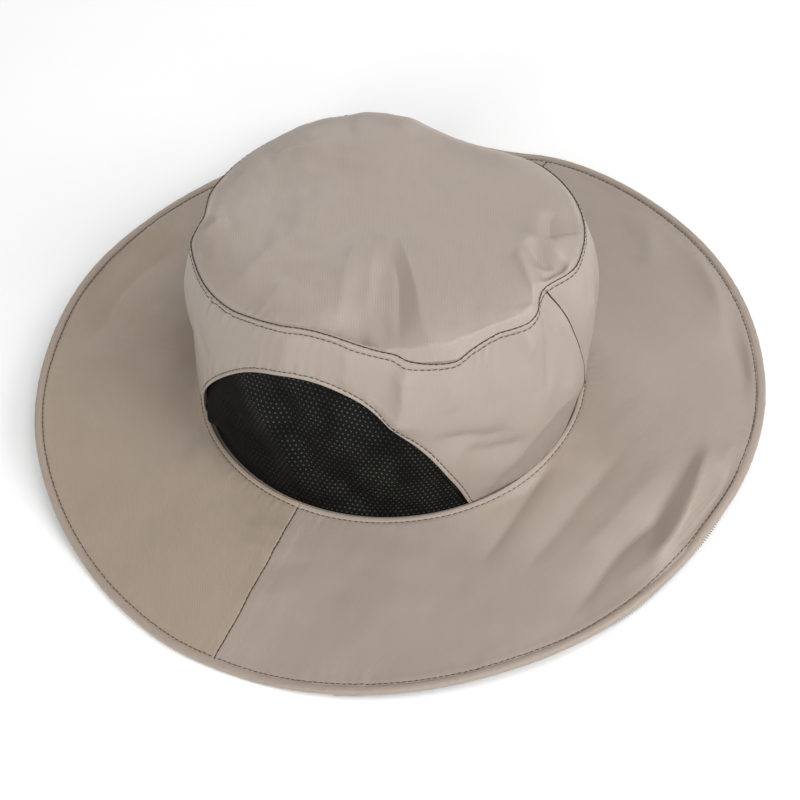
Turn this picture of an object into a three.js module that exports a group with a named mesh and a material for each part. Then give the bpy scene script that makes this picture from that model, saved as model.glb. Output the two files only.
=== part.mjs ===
// Wide-brimmed beekeeper veil hat lying on its brim, with a soft crown and net stowed under the brim.
// Millimetres, +Z up, front of the hat towards -Y, wearer's left towards +X, z = 0 on the table.
import * as THREE from "three";

// Driving sizes of the hat
const headHalfWidth = 86;
const headHalfLength = 98;
const brimReach = 89.7;
const crownHalfWidth = 73.5;
const crownHalfLength = 97;
const crownShift = { x: -19, y: 8 };
const cloth = 1.2;
const net = 1;
const gap = 0.3;

// Rolled edge that binds the brim
const bindingWidth = 5;
const bindingHeight = 3.4;
const bindingFlat = 3.2;

// Soft dome of the crown top above its seam
const domeMiddle = 103;
const domePuff = 6;

// Side vents: a low arch over the base seam on each side of the head
const ventHalfAngle = 50;
const ventRise = 0.77;
const ventRoundness = 2.6;
const ventOverlap = 4;
const ventInset = 0.8;

// Net stowed in soft gathers between the brim and the table
const gatherCount = 12;
const gatherDepth = 0.9;
const netSlack = 1.1;
const netPeek = 1;
const netHemReach = 12;

// Grid steps of the sheets
const stepsAround = 72;
const fineStepsAround = 96;

// Heights in millimetres and crown fullness, one row every 30 degrees from the wearer's left
const hatRows = [
  { at: 0, base: 16.5, edge: 0.5, seam: 111, spread: -3.5, puff: 5 },
  { at: 30, base: 15.5, edge: 6.5, seam: 100.5, spread: -3, puff: 5 },
  { at: 60, base: 14.5, edge: 8.5, seam: 101.5, spread: -3.5, puff: 5 },
  { at: 90, base: 14, edge: 11, seam: 107.5, spread: -3.5, puff: 6 },
  { at: 120, base: 12, edge: 1, seam: 103, spread: 1, puff: 9 },
  { at: 150, base: 9.5, edge: 0.5, seam: 98.5, spread: 4, puff: 9 },
  { at: 180, base: 8.5, edge: 0, seam: 92, spread: 0.5, puff: 6 },
  { at: 210, base: 10, edge: -2, seam: 102.5, spread: 5.5, puff: 5 },
  { at: 240, base: 12, edge: 13, seam: 101.5, spread: 4.5, puff: 5 },
  { at: 270, base: 14, edge: 22, seam: 101, spread: 3.5, puff: 8 },
  { at: 300, base: 16, edge: 16, seam: 101, spread: 5.5, puff: 8 },
  { at: 330, base: 17.5, edge: 2, seam: 103, spread: 4.5, puff: 5 },
];

// One wave lifts the brim behind the crown, and the back seam pulls the crown edge in
const brimWave = { at: 217, wide: 14, rise: 29 };
const seamTuck = { at: 84, wide: 8, percent: -6 };

// The cloth of the crown top stands up inside its right rim, a little towards the front
const crownFullness = { at: 206, wide: 34, rise: 9 };

// Places where the top seam slides out and down over the band (positive) or in and up (negative)
const seamSlides = [
  { at: 14, wide: 13, amount: -1.6 },
  { at: 41, wide: 6, amount: 2.1 },
  { at: 58, wide: 6, amount: -2.2 },
  { at: 72, wide: 5, amount: 1.2 },
  { at: 96, wide: 9, amount: 1.2 },
  { at: 288, wide: 12, amount: 1.1 },
  { at: 340, wide: 8, amount: -0.6 },
];

// Places where the rolled edge is drawn in (positive) or pushed out (negative)
const edgePulls = [
  { at: 46, wide: 10, amount: 0.7 },
  { at: 84, wide: 5, amount: 0.9 },
  { at: 156, wide: 12, amount: 0.7 },
  { at: 188, wide: 7, amount: 3.2 },
  { at: 258, wide: 10, amount: 1.4 },
  { at: 300, wide: 12, amount: -1 },
  { at: 352, wide: 7, amount: -0.6 },
];

// Folds run along straight lines in plan and rise or sink by their height
const crownFolds = [
  { x1: -12, y1: 12, x2: 38, y2: 48, wide: 8, rise: -3 },
  { x1: -4, y1: 28, x2: 34, y2: 62, wide: 12, rise: 4 },
  { x1: 10, y1: -34, x2: 46, y2: 4, wide: 12, rise: 2.5 },
  { x1: -30, y1: 76, x2: -42, y2: 92, wide: 8, rise: -4 },
  { x1: 2, y1: -62, x2: 12, y2: -84, wide: 8, rise: 4 },
  { x1: -62, y1: -52, x2: -84, y2: -24, wide: 8, rise: 3 },
];
const brimFolds = [
  { x1: 6, y1: 116, x2: 82, y2: 106, wide: 8, rise: 2 },
  { x1: -5, y1: 153, x2: 61, y2: 132, wide: 8, rise: 3 },
  { x1: -20, y1: 165, x2: 49, y2: 172, wide: 6, rise: 5 },
  { x1: -37, y1: -152, x2: 51, y2: -160, wide: 9, rise: 2.5 },
];

// Dents of the crown band: place round the head, height share, half sizes and depth
const bandDents = [
  { at: 27, high: 0.9, wide: 7, tall: 0.12, depth: 2.5 },
  { at: 66, high: 0.3, wide: 14, tall: 0.09, depth: 2 },
  { at: 108, high: 0.45, wide: 9, tall: 0.3, depth: 3 },
  { at: 286, high: 0.8, wide: 8, tall: 0.2, depth: 3 },
  { at: 303, high: 0.45, wide: 13, tall: 0.24, depth: 5 },
];

const degree = Math.PI / 180;
const khaki = new THREE.Color(0.39, 0.34, 0.29);
const black = new THREE.Color(0.014, 0.014, 0.012);

function clothMaterial(name) {
  return new THREE.MeshStandardMaterial({ name, color: khaki, roughness: 0.75, metalness: 0, side: THREE.DoubleSide });
}

function netMaterial(name) {
  return new THREE.MeshStandardMaterial({ name, color: black, roughness: 0.9, metalness: 0, side: THREE.DoubleSide });
}

function wrapDegrees(angle) {
  return ((angle + 180) % 360 + 360) % 360 - 180;
}

function bell(distance, halfWidth) {
  return Math.exp(-((distance / halfWidth) ** 2));
}

function sumOfBells(rows, angle) {
  return rows.reduce((sum, row) => sum + row.amount * bell(wrapDegrees(angle - row.at), row.wide), 0);
}

function smoothStep(low, high, value) {
  const share = THREE.MathUtils.clamp((value - low) / (high - low), 0, 1);
  return share * share * (3 - 2 * share);
}

// Closed smooth curve through one column of the hat rows
function column(name, angle) {
  const count = hatRows.length;
  const place = (((angle / 360) % 1) + 1) % 1 * count;
  const row = Math.floor(place);
  const share = place - row;
  const value = (offset) => hatRows[(row + offset + count) % count][name];
  const before = value(-1);
  const start = value(0);
  const end = value(1);
  const after = value(2);
  const linear = (end - before) / 2;
  const square = before - 2.5 * start + 2 * end - after / 2;
  const cube = (after - before) / 2 + 1.5 * (start - end);
  return start + share * (linear + share * (square + share * cube));
}

function foldRise(folds, x, y) {
  let rise = 0;
  for (const fold of folds) {
    const alongX = fold.x2 - fold.x1;
    const alongY = fold.y2 - fold.y1;
    const length = Math.hypot(alongX, alongY);
    const along = ((x - fold.x1) * alongX + (y - fold.y1) * alongY) / length;
    const across = ((x - fold.x1) * alongY - (y - fold.y1) * alongX) / length;
    const beyond = Math.max(0, -along, along - length);
    rise += fold.rise * bell(across, fold.wide) * bell(beyond, 1.5 * fold.wide);
  }
  return rise;
}

// Level direction that points away from the head at this place on the oval
function outward(angle) {
  const turn = angle * degree;
  return new THREE.Vector3(Math.cos(turn) / headHalfWidth, Math.sin(turn) / headHalfLength, 0).normalize();
}

function basePoint(angle) {
  const turn = angle * degree;
  const x = headHalfWidth * Math.cos(turn);
  const y = headHalfLength * Math.sin(turn);
  return new THREE.Vector3(x, y, column("base", angle));
}

// Height of the middle of the rolled edge, which lies on the table where it would sink below it
function edgeHeight(angle) {
  const wave = brimWave.rise * bell(wrapDegrees(angle - brimWave.at), brimWave.wide);
  return Math.max(bindingHeight / 2, column("edge", angle) + wave);
}

// Smooth brim between the base seam (reach 0) and its rolled edge (reach brimReach)
function brimPoint(angle, reach) {
  const start = basePoint(angle);
  const drop = start.z - edgeHeight(angle);
  const spread = Math.sqrt(brimReach ** 2 - drop ** 2);
  const share = reach / brimReach;
  const pull = sumOfBells(edgePulls, angle) * smoothStep(55, 86, reach);
  const point = start.clone().addScaledVector(outward(angle), spread * share - pull);
  point.z = start.z - drop * share;
  return point;
}

function foldedBrimPoint(angle, reach) {
  const point = brimPoint(angle, reach);
  const calm = smoothStep(0, 14, reach) * smoothStep(0, 14, brimReach - bindingWidth - reach);
  point.z += calm * foldRise(brimFolds, point.x, point.y);
  return point;
}

function seamPoint(angle) {
  const turn = angle * degree;
  const tuck = seamTuck.percent * bell(wrapDegrees(angle - seamTuck.at), seamTuck.wide);
  const scale = 1 + (column("spread", angle) + tuck) / 100;
  const x = crownShift.x + crownHalfWidth * scale * Math.cos(turn);
  const y = crownShift.y + crownHalfLength * scale * Math.sin(turn);
  const slide = sumOfBells(seamSlides, angle);
  const point = new THREE.Vector3(x, y, column("seam", angle) - 0.8 * slide);
  return point.addScaledVector(outward(angle), slide);
}

// Crown band between the base seam (share 0) and the top seam (share 1)
function bandPoint(angle, share) {
  const point = basePoint(angle).lerp(seamPoint(angle), share);
  let swell = 4 * share * (1 - share) * column("puff", angle);
  for (const dent of bandDents) {
    const round = bell(wrapDegrees(angle - dent.at), dent.wide);
    swell -= dent.depth * round * bell(share - dent.high, dent.tall);
  }
  return point.addScaledVector(outward(angle), swell);
}

// Crown top from its middle (share 0) to the top seam (share 1)
function topPoint(angle, share) {
  const rim = seamPoint(angle);
  const middle = new THREE.Vector3(crownShift.x, crownShift.y, domeMiddle);
  const point = middle.clone().lerp(rim, share);
  point.z = domeMiddle + (rim.z - domeMiddle) * share ** 2 + domePuff * (1 - share ** 6);
  const round = bell(wrapDegrees(angle - crownFullness.at), crownFullness.wide);
  point.z += crownFullness.rise * round * smoothStep(0.05, 0.8, share) * (1 - share ** 12);
  const calm = smoothStep(0, 0.12, 1 - share);
  point.z += calm * foldRise(crownFolds, point.x, point.y);
  return point;
}

function ventShare(angle) {
  const away = Math.min(Math.abs(wrapDegrees(angle)), Math.abs(wrapDegrees(angle - 180)));
  if (away >= ventHalfAngle) return 0;
  return ventRise * (1 - (away / ventHalfAngle) ** ventRoundness);
}

// Point moved off a surface along its own normal, worked out from two short steps on the surface
function offsetPoint(surface, angle, across, distance, acrossStep) {
  const point = surface(angle, across);
  const round = surface(angle + 0.5, across).sub(surface(angle - 0.5, across));
  const over = surface(angle, across + acrossStep).sub(surface(angle, across - acrossStep));
  return point.addScaledVector(round.cross(over).normalize(), distance);
}

// Closed body between two matching grids of points; a ring joins its last column to its first
function sheetGeometry(upper, lower, isRing) {
  const rowCount = upper.length;
  const columnCount = upper[0].length;
  const layerSize = rowCount * columnCount;
  const positions = [...upper.flat(), ...lower.flat()].flatMap((point) => [point.x, point.y, point.z]);
  const index = [];
  const quad = (a, b, c, d) => index.push(a, b, c, a, c, d);
  const at = (layer, row, place) => layer * layerSize + row * columnCount + (place % columnCount);
  const lastColumn = isRing ? columnCount : columnCount - 1;
  for (let place = 0; place < lastColumn; place += 1) {
    for (let row = 0; row < rowCount - 1; row += 1) {
      quad(at(0, row, place), at(0, row, place + 1), at(0, row + 1, place + 1), at(0, row + 1, place));
      quad(at(1, row, place), at(1, row + 1, place), at(1, row + 1, place + 1), at(1, row, place + 1));
    }
    const last = rowCount - 1;
    quad(at(1, 0, place), at(1, 0, place + 1), at(0, 0, place + 1), at(0, 0, place));
    quad(at(0, last, place), at(0, last, place + 1), at(1, last, place + 1), at(1, last, place));
  }
  if (!isRing) {
    const end = columnCount - 1;
    for (let row = 0; row < rowCount - 1; row += 1) {
      quad(at(0, row, 0), at(0, row + 1, 0), at(1, row + 1, 0), at(1, row, 0));
      quad(at(0, row, end), at(1, row, end), at(1, row + 1, end), at(0, row + 1, end));
    }
  }
  return solidGeometry(positions, index);
}

// Indexed geometry whose faces all point out, turned round if its volume comes out negative
function solidGeometry(positions, index) {
  let volume = 0;
  const corner = (entry) => new THREE.Vector3().fromArray(positions, 3 * entry);
  for (let first = 0; first < index.length; first += 3) {
    const [a, b, c] = [corner(index[first]), corner(index[first + 1]), corner(index[first + 2])];
    volume += a.dot(b.cross(c));
  }
  if (volume < 0) index.reverse();
  const geometry = new THREE.BufferGeometry();
  geometry.setAttribute("position", new THREE.Float32BufferAttribute(positions, 3));
  geometry.setIndex(index);
  geometry.computeVertexNormals();
  return geometry;
}

function spaced(from, to, steps) {
  return Array.from({ length: steps + 1 }, (_, step) => from + ((to - from) * step) / steps);
}

function ringAngles() {
  return spaced(0, 360, stepsAround).slice(0, -1);
}

// Crown top: two layers of rings closed by a fan at the middle
function crownTop() {
  const rings = [0.14, 0.3, 0.46, 0.6, 0.73, 0.84, 0.93, 1];
  const round = ringAngles();
  const middle = topPoint(0, 0);
  const points = [middle, middle.clone().setZ(middle.z - cloth)];
  const index = [];
  const layers = [0, -cloth];
  for (const depth of layers) {
    for (const share of rings) {
      for (const angle of round) points.push(offsetPoint(topPoint, angle, share, depth, 0.01));
    }
  }
  const at = (layer, ring, place) => 2 + (layer * rings.length + ring) * round.length + (place % round.length);
  const last = rings.length - 1;
  for (let place = 0; place < round.length; place += 1) {
    index.push(0, at(0, 0, place), at(0, 0, place + 1));
    index.push(1, at(1, 0, place + 1), at(1, 0, place));
    for (let ring = 0; ring < last; ring += 1) {
      const [a, b] = [at(0, ring, place), at(0, ring, place + 1)];
      const [c, d] = [at(0, ring + 1, place + 1), at(0, ring + 1, place)];
      index.push(a, d, c, a, c, b);
      const [e, f] = [at(1, ring, place), at(1, ring, place + 1)];
      const [g, h] = [at(1, ring + 1, place + 1), at(1, ring + 1, place)];
      index.push(e, f, g, e, g, h);
    }
    const [upper, nextUpper] = [at(0, last, place), at(0, last, place + 1)];
    const [lower, nextLower] = [at(1, last, place), at(1, last, place + 1)];
    index.push(upper, lower, nextLower, upper, nextLower, nextUpper);
  }
  const positions = points.flatMap((point) => [point.x, point.y, point.z]);
  return new THREE.Mesh(solidGeometry(positions, index), clothMaterial("crown top cloth"));
}

// Crown band: a strip whose lower edge arches over both vents
function crownBand() {
  const rows = spaced(0, 1, 7);
  const lowest = 0.011;
  const highest = 0.981;
  const layer = (depth) => rows.map((row) => ringAngles().map((angle) => {
    const bottom = Math.max(lowest, ventShare(angle));
    return offsetPoint(bandPoint, angle, bottom + (highest - bottom) * row, depth, 0.005);
  }));
  return new THREE.Mesh(sheetGeometry(layer(0), layer(-cloth), true), clothMaterial("crown band cloth"));
}

// Vent: a patch of mesh behind the band, a seam's width larger than the arch it fills
function sideVent(name, middle) {
  const bottom = 0.012;
  const slant = 95;
  const depth = -cloth - ventInset;
  const round = spaced(middle - ventHalfAngle - 2, middle + ventHalfAngle + 2, 22);
  const layer = (distance) => spaced(0, 1, 5).map((row) => round.map((angle) => {
    const top = ventShare(angle) + ventOverlap / slant;
    return offsetPoint(bandPoint, angle, bottom + (top - bottom) * row, distance, 0.005);
  }));
  const mesh = new THREE.Mesh(sheetGeometry(layer(depth), layer(depth - net), false), netMaterial("vent mesh"));
  mesh.name = name;
  return mesh;
}

// Half of the brim, from one side seam to the other
function brimHalf(name, from, stepCount, rowCount) {
  const seamGap = 0.06;
  const inner = -1;
  const outer = brimReach - bindingWidth - gap;
  const round = spaced(from + seamGap, from + 180 - seamGap, stepCount);
  const layer = (distance) => spaced(inner, outer, rowCount).map((reach) => (
    round.map((angle) => offsetPoint(foldedBrimPoint, angle, reach, distance, 0.5))
  ));
  const mesh = new THREE.Mesh(sheetGeometry(layer(cloth / 2), layer(-cloth / 2), false), clothMaterial("brim cloth"));
  mesh.name = name;
  return mesh;
}

// Rolled edge: a soft eight-sided section with a flat underside, carried all round the brim
function brimBinding() {
  const halfFlat = bindingFlat / 2;
  const halfWidth = bindingWidth / 2;
  const halfHeight = bindingHeight / 2;
  const shoulder = 0.6;
  const section = [
    [-halfWidth, -shoulder], [-halfFlat, -halfHeight], [halfFlat, -halfHeight], [halfWidth, -shoulder],
    [halfWidth, shoulder], [halfFlat, halfHeight], [-halfFlat, halfHeight], [-halfWidth, shoulder],
  ];
  const round = ringAngles();
  const positions = [];
  for (const angle of round) {
    const middle = brimPoint(angle, brimReach - halfWidth);
    middle.z = edgeHeight(angle);
    for (const [across, up] of section) {
      const point = middle.clone().addScaledVector(outward(angle), across);
      positions.push(point.x, point.y, point.z + up);
    }
  }
  const index = [];
  for (let place = 0; place < round.length; place += 1) {
    const next = (place + 1) % round.length;
    for (let side = 0; side < section.length; side += 1) {
      const nextSide = (side + 1) % section.length;
      const [a, b] = [place * section.length + side, next * section.length + side];
      const [c, d] = [next * section.length + nextSide, place * section.length + nextSide];
      index.push(a, b, c, a, c, d);
    }
  }
  return new THREE.Mesh(solidGeometry(positions, index), clothMaterial("binding cloth"));
}

// Net under the brim: it peeks out past the rolled edge wherever that edge is off the table
function netPoint(angle, row) {
  const edge = edgeHeight(angle);
  const lift = smoothStep(2.4, 4.4, edge);
  const peek = smoothStep(4.4, 7, edge);
  const tuckedReach = brimReach - bindingWidth - 4 * gap;
  const outerReach = tuckedReach + peek * (bindingWidth + netPeek + 4 * gap);
  const reaches = [outerReach, tuckedReach - 1, 66, 46, 28, netHemReach];
  const fullness = [0, 0, 0.8, 1, 1, 0.6];
  const point = brimPoint(angle, reaches[row]);
  const belowBrim = point.z - cloth / 2 - gap - net / 2;
  const belowBinding = edge - bindingHeight / 2 - gap - net / 2;
  const gather = gatherDepth * Math.cos(gatherCount * angle * degree);
  const lowest = net / 2 + gap;
  if (row < 2) {
    point.z = THREE.MathUtils.lerp(belowBrim, Math.min(belowBrim, belowBinding), lift);
  } else {
    point.z = belowBrim - Math.min(Math.max(0, belowBrim - lowest), fullness[row] * (netSlack + gather));
  }
  return point;
}

function veilNet() {
  const rows = [0, 1, 2, 3, 4, 5];
  const layer = (rise) => rows.map((row) => ringAngles().map((angle) => {
    const point = netPoint(angle, row);
    point.z += rise;
    return point;
  }));
  return new THREE.Mesh(sheetGeometry(layer(net / 2), layer(-net / 2), true), netMaterial("veil net"));
}

const veilHat = new THREE.Group();
const top = crownTop();
top.name = "crown_top";
const band = crownBand();
band.name = "crown_band";
const binding = brimBinding();
binding.name = "brim_binding";
const veil = veilNet();
veil.name = "veil_net";
veilHat.add(top, band, binding, veil);
veilHat.add(sideVent("side_vent_left", 0), sideVent("side_vent_right", 180));
veilHat.add(brimHalf("brim_back", 0, fineStepsAround / 2, 9));
veilHat.add(brimHalf("brim_front", 180, stepsAround / 2, 7));

export default veilHat;
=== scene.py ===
import math
import bpy
import numpy as np
from mathutils import Matrix, Vector


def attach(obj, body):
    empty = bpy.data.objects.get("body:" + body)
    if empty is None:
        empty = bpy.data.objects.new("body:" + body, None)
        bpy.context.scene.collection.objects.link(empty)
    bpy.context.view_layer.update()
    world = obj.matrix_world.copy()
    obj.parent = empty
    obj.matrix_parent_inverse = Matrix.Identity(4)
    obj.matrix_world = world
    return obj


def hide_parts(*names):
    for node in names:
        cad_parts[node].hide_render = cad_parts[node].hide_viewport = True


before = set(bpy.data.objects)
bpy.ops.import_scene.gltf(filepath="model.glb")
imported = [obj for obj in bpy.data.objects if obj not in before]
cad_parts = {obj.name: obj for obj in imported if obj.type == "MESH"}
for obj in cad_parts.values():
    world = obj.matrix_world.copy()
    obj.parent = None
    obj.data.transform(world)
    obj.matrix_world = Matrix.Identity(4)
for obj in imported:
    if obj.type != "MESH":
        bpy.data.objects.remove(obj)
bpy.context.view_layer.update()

mm = 0.001

# Hat shape in millimetres: +Z up, front towards -Y, wearer's left towards +X, angles from +X
hat = {
    "headHalf": (86.0, 98.0),
    "headRadius": 92.0,
    "brimReach": 89.7,
    "crownHalf": (73.5, 97.0),
    "crownShift": (-19.0, 8.0),
    "domeMiddle": 103.0,
    "bindingWide": 4.3,
    "bindingTall": 3.4,
    "ventHalf": 50.0,
    "ventRise": 0.757,
    "ventRound": 2.7,
    "ventTurn": 0.8,     # degrees that each vent sits behind the widest part of the head
    "slant": 92.0,       # base seam to top seam along the band
    "aroundStep": 1.62,  # millimetres of band in one degree
    "edgeWave": (217, 14, 29),   # raised brim edge: degrees, half width, millimetres
    "rearDent": (84, 8, -6),     # flattened top seam: degrees, half width, percent
    "slideDrop": 0.8,            # how far the top seam sinks for each millimetre it slides out
    "pullFrom": (55, 86),        # reach where a drawn-in edge begins and is complete
}

# Heights and crown fullness every 30 degrees
hatColumns = ("at", "base", "edge", "seam", "spread", "puff")
hatRows = np.array([
    (0, 16.5, 0.5, 111, -3.5, 5),
    (30, 15.5, 6.5, 100.5, -3, 5),
    (60, 14.5, 8.5, 101.5, -3.5, 5),
    (90, 14, 11, 107.5, -3.5, 6),
    (120, 12, 1, 103, 1, 9),
    (150, 9.5, 0.5, 98.5, 4, 9),
    (180, 8.5, 0, 92, 0.5, 6),
    (210, 10, -2, 102.5, 5.5, 5),
    (240, 12, 13, 101.5, 4.5, 5),
    (270, 14, 22, 101, 3.5, 8),
    (300, 16, 16, 101, 5.5, 8),
    (330, 17.5, 2, 103, 4.5, 5),
])

# Places where the top seam slides out and down over the band, or in and up: degrees, millimetres
seamSlides = (
    (-40, 0), (-20, -0.6), (-8, 0), (2, -1.0), (9, -1.4), (22, -1.6), (26.3, -1.7), (28, -0.2), (31, 0.7),
    (35, 1.4), (40, 2.0), (44, 2.0), (48, -0.3), (53, -1.7), (59, -2.3), (64, -0.9), (70, 1.0), (75, 1.2),
    (79, 0), (87, 0.8), (98, 1.4), (107, 0.5), (118, 0), (140, -0.6), (155, 0), (165, 0),
    (195, 0.5), (240, -0.5), (262, 0), (270, 0), (275, -1), (280, -3.6), (285, -5.5), (289, -6.6),
    (293, -2.8), (296.5, 0.8), (301, 0.5), (308, 0),
)

# Places where the brim edge is drawn in, or let out: degrees, half width, millimetres
edgePulls = (
    (46, 10, 0.7),
    (84, 5, 0.9),
    (156, 12, 0.7),
    (188, 7, 3.2),
    (258, 10, 1.4),
    (300, 12, -1.0),
    (352, 7, -0.6),
)


# Smooth value between the middle two of four evenly spaced ones
def cubicBetween(before, start, end, after, share):
    linear = (end - before) / 2
    square = before - 2.5 * start + 2 * end - after / 2
    cube = (after - before) / 2 + 1.5 * (start - end)
    return start + share * (linear + share * (square + share * cube))


def column(name, angle):
    values = hatRows[:, hatColumns.index(name)]
    count = len(values)
    place = (angle / 360.0) % 1.0 * count
    row = np.floor(place).astype(int)
    near = (values[(row + step) % count] for step in (-1, 0, 1, 2))
    return cubicBetween(*near, place - row)


def wrapped(angle):
    return (angle + 180.0) % 360.0 - 180.0


def bell(distance, wide):
    return np.exp(-(distance / wide) ** 2)


def easeStep(low, high, value):
    share = np.clip((value - low) / (high - low), 0.0, 1.0)
    return share * share * (3 - 2 * share)


def moved(moves, angle):
    return sum(rise * bell(wrapped(angle - at), wide) for at, wide, rise in moves)


# Softened line through a table of places round the hat
def softLine(rows, blur):
    fine = np.arange(0, 360, 0.25)
    at, value = np.array(rows, float).T
    line = np.interp(fine, at, value, period=360)
    weight = np.exp(-(wrapped(fine) / blur) ** 2)
    line = np.fft.irfft(np.fft.rfft(line) * np.fft.rfft(weight / weight.sum()), len(fine))
    return lambda angle: np.interp(np.asarray(angle) % 360, fine, line, period=360)


seamSlide = softLine(seamSlides, 1.5)


waves = {
    "ripples": 14,
    "rippleScale": 3.7,        # brings the sum of the ripples back to about one
    "bumps": 16,
    "bumpScale": 4,
    "bumpSpread": (0.7, 1.6),  # shortest and longest bump beside the length asked for
}


# Smooth ripples round the hat that repeat after one turn; lowest and highest are waves in one turn
def ripple(angle, rise, lowest, highest, seed):
    chance = np.random.default_rng(seed)
    turns = chance.integers(lowest, highest, waves["ripples"])
    phases = chance.uniform(0, 2 * math.pi, waves["ripples"])
    parts = [np.sin(np.radians(angle) * turn + phase) for turn, phase in zip(turns, phases)]
    return rise * (sum(parts) / waves["rippleScale"])


# Soft uneven surface over a plane, with bumps about this long
def unevenness(x, y, rise, long, seed):
    chance = np.random.default_rng(seed)
    total = np.zeros(np.broadcast(x, y).shape)
    for turn in chance.uniform(0, math.pi, waves["bumps"]):
        size = 2 * math.pi / (long * chance.uniform(*waves["bumpSpread"]))
        total += np.sin((x * math.cos(turn) + y * math.sin(turn)) * size + chance.uniform(0, 2 * math.pi))
    return rise * (total / waves["bumpScale"])


def outward(angle):
    turn = np.radians(angle)
    level = np.stack([np.cos(turn) / hat["headHalf"][0], np.sin(turn) / hat["headHalf"][1], 0 * turn], -1)
    return level / np.linalg.norm(level, axis=-1, keepdims=True)


def basePoint(angle):
    turn = np.radians(angle)
    wide, long = hat["headHalf"]
    return np.stack([wide * np.cos(turn), long * np.sin(turn), column("base", angle)], -1)


def edgeHeight(angle):
    return np.maximum(hat["bindingTall"] / 2, column("edge", angle) + moved([hat["edgeWave"]], angle))


def brimPlain(angle, reach):
    angle, reach = np.broadcast_arrays(angle * 1.0, reach * 1.0)
    point = basePoint(angle)
    drop = point[..., 2] - edgeHeight(angle)
    spread = np.sqrt(hat["brimReach"] ** 2 - drop ** 2) * reach / hat["brimReach"]
    spread = spread - moved(edgePulls, angle) * easeStep(*hat["pullFrom"], reach)
    point = point + outward(angle) * spread[..., None]
    point[..., 2] -= drop * reach / hat["brimReach"]
    return point


def seamPoint(angle, slideShare=1.0):
    turn = np.radians(angle)
    scale = 1 + (column("spread", angle) + moved([hat["rearDent"]], angle)) / 100
    x = hat["crownShift"][0] + hat["crownHalf"][0] * scale * np.cos(turn)
    y = hat["crownShift"][1] + hat["crownHalf"][1] * scale * np.sin(turn)
    slide = seamSlide(angle) * slideShare
    point = np.stack([x, y, column("seam", angle) - hat["slideDrop"] * slide], -1)
    return point + outward(angle) * slide[..., None]


pathSteps = 8  # short lines between two points of a path


# Smooth curve through a few points
def smoothPath(points):
    line = np.array(points, float)
    line = np.vstack([2 * line[0] - line[1], line, 2 * line[-1] - line[-2]])
    share = np.linspace(0, 1, pathSteps, endpoint=False)[:, None]
    parts = [cubicBetween(*near, share) for near in zip(line, line[1:], line[2:], line[3:])]
    return np.vstack(parts + [line[-2:-1]])


foldShape = {
    "room": 3,         # how many of its widths a fold reaches out
    "fade": 0.3,       # part of its length in which an end fades out
    "leastWide": 0.3,
    "power": 1.15,     # section between a sharp tent and a round bell
}


# Folds along smooth lines: a positive rise is a ridge and a negative one a valley. The widths belong to the
# sides on the right and on the left of the walk, a small crease makes the line sharp, and with flare the
# fold opens from nothing at the start of the walk to its full size at the end.
def foldHeight(x, y, folds, place):
    total = np.zeros(x.shape)
    for path, rise, rightSide, leftSide, crease, flare in folds:
        line = smoothPath([place(*point) for point in path])
        room = foldShape["room"] * max(rightSide, leftSide)
        near = (x > line[:, 0].min() - room) & (x < line[:, 0].max() + room)
        near &= (y > line[:, 1].min() - room) & (y < line[:, 1].max() + room)
        px, py = x[near], y[near]
        nearest = np.full(px.shape, np.inf)
        side = np.zeros(px.shape)
        along = np.zeros(px.shape)
        lengths = np.hypot(*np.diff(line, axis=0).T)
        walked = 0.0
        for (ax, ay), (bx, by), length in zip(line, line[1:], lengths):
            dx, dy = bx - ax, by - ay
            share = np.clip(((px - ax) * dx + (py - ay) * dy) / length ** 2, 0, 1)
            away = np.hypot(px - ax - share * dx, py - ay - share * dy)
            closer = away < nearest
            nearest = np.where(closer, away, nearest)
            side = np.where(closer, dx * (py - ay) - dy * (px - ax), side)
            along = np.where(closer, (walked + share * length) / lengths.sum(), along)
            walked += length
        size = 1 - flare * (1 - along)
        isOpen = 1.0 * (flare > 0.5)
        fade = np.maximum(easeStep(0, foldShape["fade"], 1 - along), isOpen)
        fade = easeStep(0, foldShape["fade"], along) * fade
        rounded = np.sqrt(nearest ** 2 + crease ** 2) - crease
        wide = np.where(side > 0, leftSide, rightSide) * size + foldShape["leastWide"]
        total[near] += rise * size * fade * np.exp(-(rounded / wide) ** foldShape["power"])
    return total


def addObject(name, data):
    thing = bpy.data.objects.new(name, data)
    bpy.context.scene.collection.objects.link(thing)
    return thing


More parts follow.
